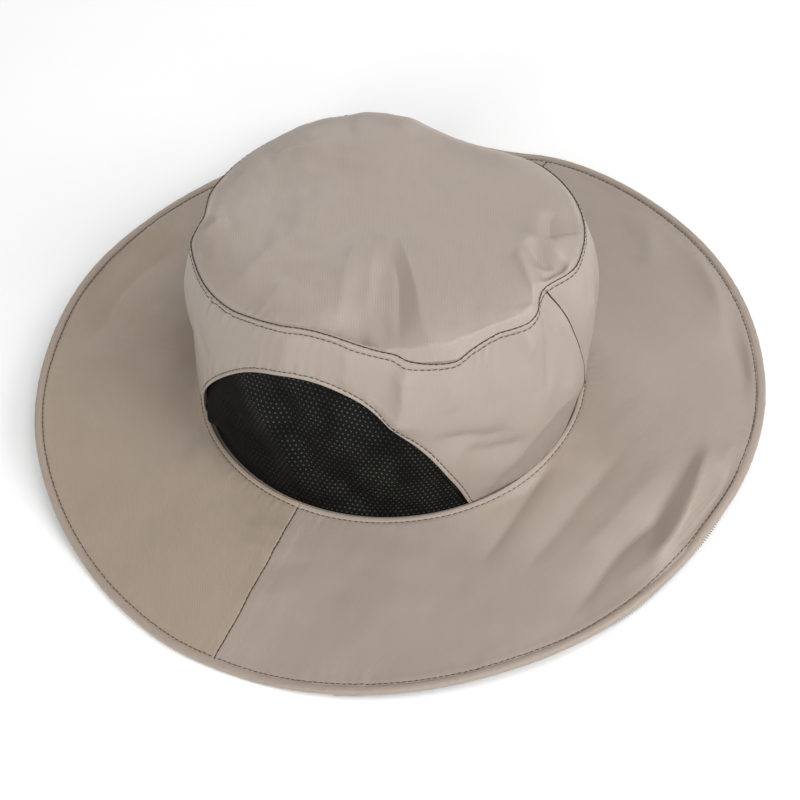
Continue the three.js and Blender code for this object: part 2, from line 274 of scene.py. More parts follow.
# Closed body between two matching grids of points in millimetres, or an open sheet without a lower grid.
# The first row of a round piece may meet in one point.
def sheetMesh(name, upper, lower=None, isRing=False, uv=None, marks=None, isPointed=False):
    rows, columns = upper.shape[:2]
    layers = [upper.reshape(-1, 3)] if lower is None else [upper.reshape(-1, 3), lower.reshape(-1, 3)]
    points = np.concatenate(layers) * mm
    wide = columns + 1 if isRing else columns
    corner = np.arange(rows * wide).reshape(rows, wide)

    def quads(grid):
        return np.stack([grid[:-1, :-1], grid[:-1, 1:], grid[1:, 1:], grid[1:, :-1]], -1).reshape(-1, 4)

    def rim(inner, outer):
        return np.stack([inner[:-1], inner[1:], outer[1:], outer[:-1]], -1)

    faces = [quads(corner)]
    if lower is not None:
        below = corner + rows * wide
        faces.append(quads(below)[:, ::-1])
        faces.append(rim(corner[-1], below[-1]))
        if not isPointed:
            faces.append(rim(below[0], corner[0]))
        if not isRing:
            faces.append(rim(corner[:, 0], below[:, 0]))
            faces.append(rim(below[:, -1], corner[:, -1]))
    faces = np.concatenate(faces)
    layer, rest = np.divmod(faces, rows * wide)
    row, place = np.divmod(rest, wide)
    vertex = layer * rows * columns + row * columns + place % columns
    if lower is not None:
        a, b, c, d = (points[vertex[:, k]] for k in range(4))
        volume = (a * np.cross(b, c)).sum() + (a * np.cross(c, d)).sum()
        if volume < 0:
            faces, vertex, row, place = (grid[:, ::-1] for grid in (faces, vertex, row, place))
    mesh = bpy.data.meshes.new(name)
    mesh.vertices.add(len(points))
    mesh.vertices.foreach_set("co", points.ravel())
    mesh.loops.add(vertex.size)
    mesh.loops.foreach_set("vertex_index", np.ascontiguousarray(vertex).ravel().astype(np.int32))
    mesh.polygons.add(len(vertex))
    mesh.polygons.foreach_set("loop_start", np.arange(0, vertex.size, 4, dtype=np.int32))
    mesh.update(calc_edges=True)
    mesh.validate()
    if uv is not None:
        flat = np.stack([uv[0][row, place], uv[1][row, place]], -1)
        layerUv = mesh.uv_layers.new(name="clothMap")
        layerUv.data.foreach_set("uv", (flat.reshape(-1, 2) * mm).astype(np.float32).ravel())
    for key, values in (marks or {}).items():
        mark = mesh.attributes.new(key, "FLOAT", "POINT")
        both = np.tile(values.ravel(), len(layers)).astype(np.float32)
        mark.data.foreach_set("value", both)
    mesh.shade_smooth()
    mesh.set_sharp_from_angle(angle=math.radians(60))
    return addObject(name, mesh)


# Unit normals of a grid of points, on the side that the third argument points to
def gridNormals(grid, isRing, towards):
    if isRing:
        padded = np.concatenate([grid[:, -1:], grid, grid[:, :1]], axis=1)
        around = (padded[:, 2:] - padded[:, :-2]) / 2
    else:
        around = np.gradient(grid, axis=1)
    normals = np.cross(around, np.gradient(grid, axis=0))
    normals /= np.maximum(np.linalg.norm(normals, axis=-1, keepdims=True), 1e-9)
    flip = np.sign((normals * towards).sum(-1, keepdims=True))
    return normals * np.where(flip == 0, 1, flip)


# Join points that lie on each other and keep the result as a plain mesh
def weldPiece(piece, material):
    weld = piece.modifiers.new("closeSeams", "WELD")
    weld.merge_threshold = 0.00001
    depsgraph = bpy.context.evaluated_depsgraph_get()
    joined = bpy.data.meshes.new_from_object(piece.evaluated_get(depsgraph))
    piece.modifiers.remove(weld)
    piece.data = joined
    joined.materials.clear()
    joined.materials.append(material)


def finishPiece(piece, slotName, *nodes):
    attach(piece, "root")
    if nodes:
        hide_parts(*nodes)


# Adds nodes to one tree and links them; a label's spaces are written as underscores
class Wiring:
    def __init__(self, tree):
        self.tree = tree

    def put(self, target, value):
        if isinstance(value, bpy.types.NodeSocket):
            self.tree.links.new(value, target)
        else:
            target.default_value = value

    def node(self, kind, settings=None, **values):
        node = self.tree.nodes.new(kind)
        for key, value in (settings or {}).items():
            setattr(node, key, value)
        for key, value in values.items():
            label = key.replace("_", " ")
            self.put(next(socket for socket in node.inputs if socket.name == label and socket.enabled), value)
        return node

    def maths(self, operation, *values, kind="ShaderNodeMath", clamp=False):
        node = self.node(kind, {"operation": operation})
        if clamp:
            node.use_clamp = True
        for socket, value in zip(node.inputs, values):
            self.put(socket, value)
        return node.outputs[0]

    def plus(self, *values, **settings):
        return self.maths("ADD", *values, **settings)

    def times(self, *values, **settings):
        return self.maths("MULTIPLY", *values, **settings)

    def over(self, *values, **settings):
        return self.maths("DIVIDE", *values, **settings)

    def noise(self, vector, scale, detail=2.0, rough=0.5):
        node = self.node("ShaderNodeTexNoise", Vector=vector, Scale=scale, Detail=detail, Roughness=rough)
        return node.outputs["Fac"]

    def ramp(self, value, low, high, start=0.0, end=1.0):
        node = self.node("ShaderNodeMapRange", {"interpolation_type": "SMOOTHSTEP"})
        for socket, entry in zip(node.inputs, (value, low, high, start, end)):
            self.put(socket, entry)
        return node.outputs[0]

    def mixColor(self, share, first, second):
        node = self.node("ShaderNodeMix", {"data_type": "RGBA"})
        for place, value in ((0, share), (6, first), (7, second)):
            self.put(node.inputs[place], value)
        return node.outputs[2]


# Empty node tree with named inputs and outputs
def newTree(name, kind, inputs, outputs):
    tree = bpy.data.node_groups.new(name, kind)
    for label, sort, *value in inputs:
        socket = tree.interface.new_socket(name=label, in_out="INPUT", socket_type="NodeSocket" + sort)
        if value:
            socket.default_value = value[0]
    for label, sort in outputs:
        tree.interface.new_socket(name=label, in_out="OUTPUT", socket_type="NodeSocket" + sort)
    given = tree.nodes.new("NodeGroupInput").outputs
    result = tree.nodes.new("NodeGroupOutput").inputs
    return Wiring(tree), given, result


# Fine ribs along Y of its vector with finer threads across them; the vector is in millimetres
def makeTwillGroup():
    w, given, result = newTree(
        "twill weave", "ShaderNodeTree",
        [("Vector", "Vector"), ("Rib Pitch", "Float", 1.25), ("Thread Pitch", "Float", 0.42),
         ("Waver", "Float", 0.35)],
        [("Shade", "Float"), ("Height", "Float")],
    )
    drift = w.noise(given["Vector"], 0.12)
    split = w.node("ShaderNodeSeparateXYZ", Vector=given["Vector"])
    x = w.plus(split.outputs[0], w.times(drift, given["Waver"]))
    y = split.outputs[1]

    def wave(place, pitch):
        return w.maths("SINE", w.over(w.times(place, 2 * math.pi), pitch))

    ribs = wave(x, given["Rib Pitch"])
    threads = wave(w.plus(x, w.times(y, 0.55)), given["Thread Pitch"])
    across = wave(y, given["Thread Pitch"])
    fine = w.times(w.plus(threads, across), 0.5)
    slub = w.noise(given["Vector"], 1.7, rough=0.6)
    height = w.plus(w.times(ribs, 0.45), w.times(fine, 0.4))
    w.put(result["Height"], w.plus(height, w.times(slub, 0.5)))
    shade = w.plus(w.times(ribs, 0.35), w.times(slub, 1.0))
    w.put(result["Shade"], w.plus(w.times(shade, 0.5), 0.25, clamp=True))
    return w.tree


# Broad uneven tone of used cloth, from -1 to 1
def makeDriftGroup():
    w, given, result = newTree(
        "tone drift", "ShaderNodeTree",
        [("Vector", "Vector"), ("Patch Size", "Float", 60.0)],
        [("Tone", "Float")],
    )
    broad = w.noise(given["Vector"], w.over(1.0, given["Patch Size"]), 3.0)
    w.put(result["Tone"], w.maths("SUBTRACT", w.times(broad, 2.0), 1.0))
    return w.tree


# Paler rubbed cloth where a piece is folded over, broken up by noise; on the rolled edge this paler band is a
# painted highlight
def makeWearAndHighlightGroup():
    w, given, result = newTree(
        "edge wear", "ShaderNodeTree",
        [("Vector", "Vector"), ("Edge", "Float", 0.0), ("Amount", "Float", 0.5)],
        [("WearAndHighlight", "Float")],
    )
    broken = w.noise(given["Vector"], 0.45, 4.0, 0.7)
    wear = w.times(given["Edge"], w.ramp(broken, 0.35, 0.7))
    w.put(result["WearAndHighlight"], w.times(wear, given["Amount"], clamp=True))
    return w.tree


# Staggered rows of small knitted eyelets; the vector is in millimetres
def makeKnitGroup():
    w, given, result = newTree(
        "eyelet knit", "ShaderNodeTree",
        [("Vector", "Vector"), ("Pitch", "Float", 2.5), ("Row Pitch", "Float", 2.1),
         ("Dot", "Float", 0.5)],
        [("Dots", "Float"), ("Height", "Float")],
    )
    split = w.node("ShaderNodeSeparateXYZ", Vector=given["Vector"])
    rowPlace = w.over(split.outputs[1], given["Row Pitch"])
    row = w.maths("FLOOR", rowPlace)
    odd = w.times(w.maths("FLOORED_MODULO", row, 2.0), 0.5)
    place = w.plus(w.over(split.outputs[0], given["Pitch"]), odd)
    acrossDot = w.times(w.maths("SUBTRACT", w.maths("FRACT", place), 0.5), given["Pitch"])
    upDot = w.times(w.maths("SUBTRACT", w.maths("FRACT", rowPlace), 0.5), given["Row Pitch"])
    away = w.maths("SQRT", w.plus(w.maths("POWER", acrossDot, 2.0), w.maths("POWER", upDot, 2.0)))
    dots = w.ramp(away, w.times(given["Dot"], 0.55), given["Dot"], 1.0, 0.0)
    ribs = w.maths("SINE", w.times(split.outputs[0], 2 * math.pi / 0.48))
    w.put(result["Dots"], dots)
    w.put(result["Height"], w.maths("SUBTRACT", w.times(ribs, 0.12), w.times(dots, 0.6)))
    return w.tree


# Threads of a fine net with six-sided cells; the vector is in millimetres
def makeNetGroup():
    w, given, result = newTree(
        "fine net", "ShaderNodeTree",
        [("Vector", "Vector"), ("Cell", "Float", 1.3), ("Thread", "Float", 0.28)],
        [("Threads", "Float")],
    )
    scaled = w.over(given["Vector"], given["Cell"], kind="ShaderNodeVectorMath")
    cells = w.node(
        "ShaderNodeTexVoronoi", {"feature": "DISTANCE_TO_EDGE"}, Vector=scaled, Scale=1.0, Randomness=0.25)
    half = w.over(given["Thread"], w.times(given["Cell"], 2.0))
    threads = w.ramp(cells.outputs["Distance"], w.times(half, 0.8), w.times(half, 1.2), 1.0, 0.0)
    w.put(result["Threads"], threads)
    return w.tree


groups = {
    "twill": makeTwillGroup(),
    "drift": makeDriftGroup(),
    "wear": makeWearAndHighlightGroup(),
    "knit": makeKnitGroup(),
    "net": makeNetGroup(),
}


def startMaterial(name):
    material = bpy.data.materials.new(name)
    material.use_nodes = True
    return material, Wiring(material.node_tree), material.node_tree.nodes["Principled BSDF"]


def useGroup(w, key, **values):
    return w.node("ShaderNodeGroup", {"node_tree": groups[key]}, **values).outputs


# Vector in millimetres, from the piece's own place or from its cloth map, turned by some degrees
def clothVector(w, turn=0, fromMap=False):
    source = w.node("ShaderNodeTexCoord").outputs["UV" if fromMap else "Object"]
    turned = (0, 0, math.radians(turn))
    return w.node("ShaderNodeMapping", Vector=source, Rotation=turned, Scale=(1000, 1000, 1000)).outputs[0]


def addBump(w, shader, height, strength, distance):
    bump = w.node("ShaderNodeBump", Strength=strength, Distance=distance, Height=height)
    w.put(shader.inputs["Normal"], bump.outputs[0])


clothLook = {
    "color": (0.372, 0.31, 0.264),
    "ribTurn": 0, "ribPitch": 1.25, "threadPitch": 0.42, "waver": 0.5, "fromMap": False,
    "patchSize": 70, "drift": 0.035, "contrast": 0.06, "wear": 0.3, "paleTint": 1.22,
    "roughness": 0.45, "patchyRoughness": 0.06, "wornRoughness": 0.12, "bump": 0.45, "bumpDepth": 0.00012,
    "specular": 0.5, "sheen": 0.1, "sheenRoughness": 0.45, "sheenTint": (1.0, 0.93, 0.86, 1),
}


def makeCloth(name, **changes):
    look = {**clothLook, **changes}
    material, w, shader = startMaterial(name)
    vector = clothVector(w, look["ribTurn"], look["fromMap"])
    place = clothVector(w)
    twill = useGroup(
        w, "twill", Vector=vector, Rib_Pitch=look["ribPitch"], Thread_Pitch=look["threadPitch"],
        Waver=look["waver"])
    drift = useGroup(w, "drift", Vector=place, Patch_Size=look["patchSize"])["Tone"]
    edge = w.node("ShaderNodeAttribute", {"attribute_name": "wornEdgeAndHighlight"}).outputs["Fac"]
    wear = useGroup(w, "wear", Vector=place, Edge=edge, Amount=look["wear"])["WearAndHighlight"]

    def tinted(share):
        return tuple(min(1, part * share) for part in look["color"]) + (1,)

    color = w.mixColor(twill["Shade"], tinted(1 - look["contrast"]), tinted(1 + look["contrast"]))
    tone = w.plus(1.0, w.times(drift, look["drift"]))
    toned = w.node("ShaderNodeHueSaturation", Value=tone, Color=color).outputs[0]
    w.put(shader.inputs["Base Color"], w.mixColor(wear, toned, tinted(look["paleTint"])))
    rough = w.plus(look["roughness"], w.times(drift, look["patchyRoughness"]))
    w.put(shader.inputs["Roughness"], w.plus(rough, w.times(wear, look["wornRoughness"])))
    addBump(w, shader, twill["Height"], look["bump"], look["bumpDepth"])
    shader.inputs["Specular IOR Level"].default_value = look["specular"]
    shader.inputs["Sheen Weight"].default_value = look["sheen"]
    shader.inputs["Sheen Roughness"].default_value = look["sheenRoughness"]
    shader.inputs["Sheen Tint"].default_value = look["sheenTint"]
    return material


# One cloth throughout: the band and the two brim halves get slightly different colours as painted light and
# shade, standing in for gloss and light bounced between the pieces
topCloth = makeCloth("crownTopTwill", ribTurn=60)
bandCloth = makeCloth("crownBandTwill", fromMap=True, contrast=0.03, bump=0.25, color=(0.356, 0.297, 0.251))
frontCloth = makeCloth("brimFrontTwill", ribTurn=60, color=(0.35, 0.279, 0.217))
backCloth = makeCloth("brimBackTwill", ribTurn=98, color=(0.352, 0.29, 0.243))
bindingCloth = makeCloth("bindingTwill", fromMap=True, ribTurn=45, wear=0.4, color=(0.35, 0.286, 0.236))
print("cloth materials made")


ventLook = {
    "pitch": 2.45, "rowPitch": 2.12, "dot": 0.5, "patchSize": 18.0,
    "upShare": 0.8,                  # how much height counts beside the way to the back
    # painted light and shade: the mesh is painted lighter towards the back and top and darker elsewhere,
    # broken up by broad random patches
    "shadedTo": 0.0, "litFrom": 0.035, "shadedLevel": 0.25, "patches": (-0.25, 0.25, 0.3, 1.0),
    "shadedColor": (0.003, 0.003, 0.0025, 1),
    "litColor": (0.0082, 0.0084, 0.0066, 1),
    "dotColor": (0.09, 0.09, 0.078, 1),
    "roughness": 0.55, "dotRoughness": 0.3, "bump": 0.8, "bumpDepth": 0.0003, "specular": 0.06,
}


def makeVentMaterial():
    look = ventLook
    material, w, shader = startMaterial("ventKnit")
    vector = clothVector(w, fromMap=True)
    knit = useGroup(
        w, "knit", Vector=vector, Pitch=look["pitch"], Row_Pitch=look["rowPitch"], Dot=look["dot"])
    drift = useGroup(w, "drift", Vector=vector, Patch_Size=look["patchSize"])["Tone"]
    split = w.node("ShaderNodeSeparateXYZ", Vector=w.node("ShaderNodeTexCoord").outputs["Object"])
    # Painted light and shade: lighter towards the back and top, darker elsewhere and in broad random patches;
    # the pale eyelet dots show only where the mesh is painted lit
    upBack = w.plus(split.outputs["Y"], w.times(split.outputs["Z"], look["upShare"]))
    paintedLit = w.ramp(upBack, look["shadedTo"], look["litFrom"], look["shadedLevel"])
    paintedLit = w.times(paintedLit, w.ramp(drift, *look["patches"]))
    ground = w.mixColor(paintedLit, look["shadedColor"], look["litColor"])
    w.put(shader.inputs["Base Color"], w.mixColor(w.times(knit["Dots"], paintedLit), ground, look["dotColor"]))
    w.put(shader.inputs["Roughness"], w.plus(look["roughness"], w.times(knit["Dots"], look["dotRoughness"])))
    addBump(w, shader, knit["Height"], look["bump"], look["bumpDepth"])
    shader.inputs["Specular IOR Level"].default_value = look["specular"]
    return material


netLook = {
    "cell": 1.3, "thread": 0.34, "patchSize": 30.0,
    "dark": (0.008, 0.008, 0.008, 1), "pale": (0.017, 0.017, 0.016, 1),
    "smooth": 0.5, "rough": 0.7, "bump": 0.5, "bumpDepth": 0.0002, "specular": 0.25,
}


def makeNetMaterial():
    look = netLook
    material, w, shader = startMaterial("veilNetting")
    vector = clothVector(w, fromMap=True)
    net = useGroup(w, "net", Vector=vector, Cell=look["cell"], Thread=look["thread"])["Threads"]
    drift = useGroup(w, "drift", Vector=vector, Patch_Size=look["patchSize"])["Tone"]
    w.put(shader.inputs["Base Color"], w.mixColor(w.ramp(drift, -0.6, 0.6), look["dark"], look["pale"]))
    w.put(shader.inputs["Alpha"], net)
    w.put(shader.inputs["Roughness"], w.ramp(drift, -0.8, 0.8, look["smooth"], look["rough"]))
    addBump(w, shader, net, look["bump"], look["bumpDepth"])
    shader.inputs["Specular IOR Level"].default_value = look["specular"]
    return material


threadAndShadeLook = {
    "detail": 3.0, "fuzz": 0.7, "smooth": 0.55, "rough": 0.8,
    "bump": 0.4, "bumpDepth": 0.0001, "specular": 0.3,
}


def makeThreadAndShadeMaterial(name, dark, pale, twist):
    look = threadAndShadeLook
    material, w, shader = startMaterial(name)
    fuzz = w.noise(clothVector(w), 1 / twist, look["detail"], look["fuzz"])
    w.put(shader.inputs["Base Color"], w.mixColor(w.ramp(fuzz, 0.3, 0.7), dark, pale))
    w.put(shader.inputs["Roughness"], w.ramp(fuzz, 0.2, 0.8, look["smooth"], look["rough"]))
    addBump(w, shader, fuzz, look["bump"], look["bumpDepth"])
    shader.inputs["Specular IOR Level"].default_value = look["specular"]
    return material


ventKnit = makeVentMaterial()
netting = makeNetMaterial()
sewingThread = makeThreadAndShadeMaterial("sewingThread", (0.032, 0.021, 0.014, 1), (0.075, 0.052, 0.036, 1), 0.4)
# the seam lines are dark tubes of painted shade, standing in for the shadow in the seams' crevices
seamShadow = makeThreadAndShadeMaterial("seamShadeTube", (0.03, 0.021, 0.016, 1), (0.07, 0.05, 0.038, 1), 0.8)
print("net, mesh and thread materials made")


crownTop = {
    "cloth": 1.0,
    "around": 480,
    "radius": 85,        # middle size of the oval, for distances from its rim
    "puff": 8.0,
    "rollDown": (0.9, 0.9),          # the rim dips into the top seam: depth, half width
    "swell": (2.2, 1.8, 0.35),       # raised line beside the seam: distance from the rim, half width, rise
    "bumps": ((0.45, 42, 5), (0.12, 13, 6)),   # rise, length, seed
    "puckers": (0.2, 45, 150, 11),   # at the seam: rise, fewest and most in one turn, seed
    "puckerReach": 6,
    "drawn": (-22, 34, 0.65),        # where the puckers are strongest: degrees, half width, share
    "fullness": (198, 42, 8.0),   # the cloth stands up near the far rim: degrees, half width, rise
    "folds": (           # path in (degrees, share of the way to the seam), rise, right, left, crease, flare
        (((110, 0.05), (47.2, 0.3), (40.4, 0.61), (37.2, 0.88), (38, 1.04)), 7.8, 15, 28, 0.3, 0.8),
        (((60, 0.06), (25, 0.38), (19.5, 0.6), (15.5, 0.92), (14.5, 1.04)), -4.8, 30, 15, 1.5, 0.8),
        (((33, 0.3), (32, 0.52), (29, 0.76), (27.6, 0.98)), -1.2, 1.6, 3, 0.3, 0.5),
        (((0, 0.84), (8, 0.85), (14.8, 0.86), (22.8, 0.87), (30, 0.93)), -1.6, 7, 8, 0.5, 0),
        (((337, 0.08), (0, 0.46), (6, 0.74), (7.5, 0.98)), 2.0, 5, 8, 0.8, 0),
        (((0, 0.05), (14.4, 0.34), (16.4, 0.68), (18.5, 0.98)), 1.6, 4, 8, 0.8, 0),
        (((77, 1.02), (79.2, 0.98), (86.4, 0.87), (91.2, 0.78), (97, 0.73), (101, 0.72)),
         3.2, 3, 3, 0.5, 0.3),
        (((94, 0.745), (99, 0.725), (103.5, 0.75), (104.5, 0.81), (102, 0.86), (100, 0.91), (99.2, 0.98)),
         3.4, 4, 7, 0.8, 0.2),
        (((93, 0.8), (95, 0.86), (91, 0.92)), -3.0, 4, 4, 1.0, 0),
        (((85, 0.93), (89, 0.945), (94, 0.95), (98, 0.97)), -3.6, 3, 5, 0.5, 0),
        (((125, 0.86), (117.2, 0.83), (112.4, 0.83), (108, 0.84), (104.8, 0.88)), -3.2, 2.2, 8, 0.3, 0),
        (((34, 0.93), (45, 0.9), (58, 0.89), (70, 0.91), (80, 0.96)), 1.0, 5, 12, 1.5, 0),
        (((254, 0.8), (244, 0.78), (234, 0.7), (226, 0.74)), 1.6, 5, 2, 0.4, 0),
        (((237, 0.78), (261, 0.66), (292, 0.58), (323, 0.62)), -1.0, 10, 10, 4, 0),
        (((66, 0.73), (54, 0.88), (47, 0.96)), -0.8, 6, 8, 3, 0),
        (((291, 0.84), (296, 0.9), (299, 0.97)), 2.4, 3, 4, 1, 0),
        (((310, 0.45), (322, 0.7), (330, 0.95)), 1.2, 6, 9, 1, 0),
        (((338, 0.66), (341, 0.82), (343, 0.98)), 1.0, 4, 6, 0.8, 0),
        (((250, 0.5), (290, 0.35), (335, 0.5), (350, 0.75)), 3.0, 32, 26, 6, 0),
        (((205, 0.3), (200, 0.55), (197, 0.8)), 0.7, 10, 10, 4, 0),
        (((217, 0.6), (217, 0.8), (216, 1.03)), -2.4, 7, 7, 2, 0.6),
        (((197, 0.6), (196, 0.8), (195, 1.03)), 2.8, 9, 9, 2, 0.6),
        (((233, 0.6), (233, 0.8), (233, 1.03)), 1.4, 7, 7, 2, 0.6),
        (((170, 0.35), (163, 0.6), (160, 0.9)), -0.8, 8, 12, 3, 0),
    ),
}


def topSurface(angle, share):
    angle, share = np.broadcast_arrays(angle * 1.0, share * 1.0)
    rim = seamPoint(angle, share ** 8)
    middle = np.array([*hat["crownShift"], hat["domeMiddle"]])
    point = middle + (rim - middle) * share[..., None]
    height = hat["domeMiddle"] + (rim[..., 2] - hat["domeMiddle"]) * share ** 2
    height += crownTop["puff"] * (1 - share ** 6)
    height += moved([crownTop["fullness"]], angle) * easeStep(0.05, 0.8, share) * (1 - share ** 12)
    fromRim = (1 - share) * np.hypot(rim[..., 0] - middle[0], rim[..., 1] - middle[1])
    x, y = point[..., 0], point[..., 1]

    def place(at, part):
        spot = middle + (seamPoint(np.array(at * 1.0)) - middle) * part
        return spot[0], spot[1]

    calm = easeStep(0, 3, fromRim)
    height += (0.25 + 0.75 * calm) * foldHeight(x, y, crownTop["folds"], place)
    for row in crownTop["bumps"]:
        height += unevenness(x, y, *row) * calm
    at, wide, part = crownTop["drawn"]
    drawn = 1 - part + part * bell(wrapped(angle - at), wide)
    puckers = ripple(angle, *crownTop["puckers"]) * easeStep(0, 0.8, fromRim)
    height += drawn * puckers * bell(fromRim, crownTop["puckerReach"])
    depth, wide = crownTop["rollDown"]
    away, swellWide, rise = crownTop["swell"]
    height += rise * bell(fromRim - away, swellWide) - depth * bell(fromRim, wide)
    return np.stack([x, y, height], -1)


def makeCrownTop():
    radius = crownTop["radius"]
    fromRim = np.array([0, 0.35, 0.7, 1.05, 1.5, 2.0, 2.6, 3.3, 4.1, 5.0, 6.0]) / radius
    shares = np.concatenate([np.linspace(0, 1 - fromRim[-1], 58)[:-1], 1 - fromRim[::-1]])
    angle = np.linspace(0, 360, crownTop["around"], endpoint=False)
    grid = topSurface(angle[None, :], shares[:, None])
    normals = gridNormals(grid, True, np.array([0, 0, 1.0]))
    normals[0] = (0, 0, 1)
    lower = grid - normals * crownTop["cloth"]
    edge = np.tile(bell((1 - shares[:, None]) * radius - 1.5, 1.5), (1, len(angle)))
    ends = np.append(angle, 360)
    along = np.radians(ends)[None, :] * radius * np.ones((len(shares), 1))
    out = shares[:, None] * radius * np.ones((1, len(ends)))
    piece = sheetMesh("crownTop", grid, lower, True, (along, out), {"wornEdgeAndHighlight": edge}, isPointed=True)
    weldPiece(piece, topCloth)
    return piece


crownTopPiece = makeCrownTop()
finishPiece(crownTopPiece, "crown_top_cloth", "crown_top")
print("crown top made", len(crownTopPiece.data.polygons))


crownBand = {
    "cloth": 0.9,
    "around": 560,
    "hem": 1.5,          # turned edge round the vents
    "topStitch": 3.0,    # distance of the stitch line below the top seam
    "bumps": (0.5, 40, 8),           # rise, length, seed
    "seamDip": (0, 0.8, -0.8),       # beside the top seam: distance below it, half width, rise
    "seamSwell": (1.6, 1.1, 0.35),
    "stitchDip": (0.7, -0.3),        # under the stitch line: half width, rise
    "ventLip": 0.55,
    "ventGroove": 0.3,
    "seamPuckers": (1, 50, 150, 21),       # rise, fewest and most in one turn, seed
    "ventPuckers": (0.2, 45, 140, 23),
    "basePuckers": (0.2, 50, 130, 27),
    "dents": (           # degrees, share of the height, half width, half height, depth
        (66, 0.3, 14, 0.09, 1.2),
        (108, 0.45, 9, 0.3, 3.0),
        (286, 0.8, 8, 0.2, 3.0),
        (303, 0.45, 13, 0.24, 5.0),
    ),
    "folds": (           # path in (degrees, share of the height), rise, right, left, crease, flare
        (((64, 0.42), (55.9, 0.44), (49, 0.49), (42.4, 0.535), (36, 0.57)), -2.8, 3.6, 7, 0.4, 0),
        (((69, 0.345), (62, 0.33), (54.4, 0.35), (46, 0.43)), -2.3, 3.2, 6, 0.4, 0),
        (((54, 0.06), (60, 0.16), (64.6, 0.24), (70, 0.31), (78.1, 0.34), (90.7, 0.32), (103, 0.24)),
         4.4, 10, 15, 0.3, 0),
        (((76.9, 0.62), (80, 0.5), (84, 0.42), (92, 0.38)), 1.2, 4, 6, 0.5, 0),
        (((53.5, 0.07), (55.6, 0.1), (59.2, 0.06)), 0.6, 1.8, 1.8, 0.5, 0),
        (((60.7, 0.04), (63.7, 0.07), (67, 0.04)), 0.6, 1.6, 1.8, 0.5, 0),
        (((28.4, 1.03), (28.9, 0.86), (28, 0.72), (24, 0.6)), 8.5, 9, 12, 0.5, 0.5),
        (((27.7, 0.95), (28.2, 0.88), (28.6, 0.8)), 0.7, 1.2, 1.0, 0.3, 0),
        (((80.8, 0.93), (82, 0.84), (84.1, 0.74)), 1.2, 1.2, 1.8, 0.3, 0),
        (((86.2, 0.82), (87, 0.76), (88, 0.7)), 0.9, 1.2, 1.6, 0.3, 0),
        (((84.6, 0.985), (88.5, 0.87), (90.9, 0.77), (93.2, 0.64), (95.1, 0.52), (96.2, 0.4), (94.6, 0.3)),
         -2.2, 1.6, 5, 0.2, 0),
        (((79.9, 0.76), (76.9, 0.66), (76, 0.5)), -1.1, 2, 3, 0.5, 0),
        (((-4.7, 0.99), (-5.9, 0.88), (-5.9, 0.76)), 1.4, 5, 8, 0.6, 0),
        (((10.9, 0.99), (13, 0.89), (13, 0.76)), 1.5, 5, 8, 0.6, 0),
        (((66.7, 0.99), (69.1, 0.88), (71.2, 0.8)), 1.4, 3, 5, 0.6, 0),
        (((40, 0.94), (43, 0.82), (43, 0.7)), 1.0, 4, 6, 1.0, 0),
        (((54, 0.95), (57, 0.8), (57, 0.62)), 1.0, 4, 7, 1.0, 0),
        (((-46, 0.78), (-40.7, 0.69), (-33.5, 0.61)), -1.2, 2, 4, 0.6, 0),
        (((-66, 0.88), (-60, 0.7), (-58, 0.4)), 1.2, 4, 6, 1.5, 0),
        (((-80, 0.85), (-74, 0.6), (-76, 0.3)), -1.2, 5, 7, 2, 0),
        (((100, 0.8), (105, 0.6), (104, 0.35)), 1.6, 5, 8, 1.0, 0),
        (((110, 0.75), (116, 0.5), (113, 0.2)), -1.4, 4, 6, 1.0, 0),
        (((140, 0.8), (143, 0.6), (139, 0.35)), 0.9, 5, 8, 1.5, 0),
        (((215, 0.9), (220, 0.7), (217, 0.5)), 0.9, 5, 8, 1.5, 0),
        (((232, 0.35), (246, 0.31), (262, 0.33)), 1.4, 3, 8, 0.8, 0),
        (((262, 0.6), (276, 0.56), (290, 0.6)), 1.2, 3, 8, 0.8, 0),
    ),
    "gathers": (0.08, ((-34, 14, 0.3), (57, 9, 0.25))),   # rise all round, then degrees, half width, more
    "backSeam": (        # degrees, share of the height
        (84.1, 0.985), (88, 0.87), (90.2, 0.77), (92.5, 0.64), (94.3, 0.52), (95.5, 0.4), (94, 0.3),
        (93, 0.2), (93, 0.02),
    ),
    "backShadeLines": (-0.2, 0, 0.2),   # degrees beside the seam where its dark lines of painted shade run
}


def fromVent(angle):
    turn = hat["ventTurn"]
    return np.minimum(np.abs(wrapped(angle - turn)), np.abs(wrapped(angle - 180 + turn)))


def ventShare(angle):
    away = fromVent(angle)
    share = hat["ventRise"] * (1 - (away / hat["ventHalf"]) ** hat["ventRound"])
    return np.where(away < hat["ventHalf"], share, 0.0)


# Distance in millimetres above the curved edge of the nearer vent
def aboveVent(angle, share):
    away = fromVent(angle) / hat["ventHalf"]
    value = share / hat["ventRise"] - 1 + away ** hat["ventRound"]
    slopeUp = 1 / (hat["ventRise"] * hat["slant"])
    slopeRound = hat["ventRound"] * away ** (hat["ventRound"] - 1) / hat["ventHalf"] / hat["aroundStep"]
    return value / np.hypot(slopeUp, slopeRound)


def bandPlain(angle, share):
    angle, share = np.broadcast_arrays(angle * 1.0, share * 1.0)
    base, seam = basePoint(angle), seamPoint(angle)
    swell = 4 * share * (1 - share) * column("puff", angle)
    for at, high, wide, tall, depth in crownBand["dents"]:
        swell = swell - depth * bell(wrapped(angle - at), wide) * bell(share - high, tall)
    return base + (seam - base) * share[..., None] + outward(angle) * swell[..., None]


# Raised or sunk lines along an edge: distance from it, half width, rise
def lineRelief(distance, *rows):
    return sum(rise * bell(distance - away, wide) for away, wide, rise in rows)


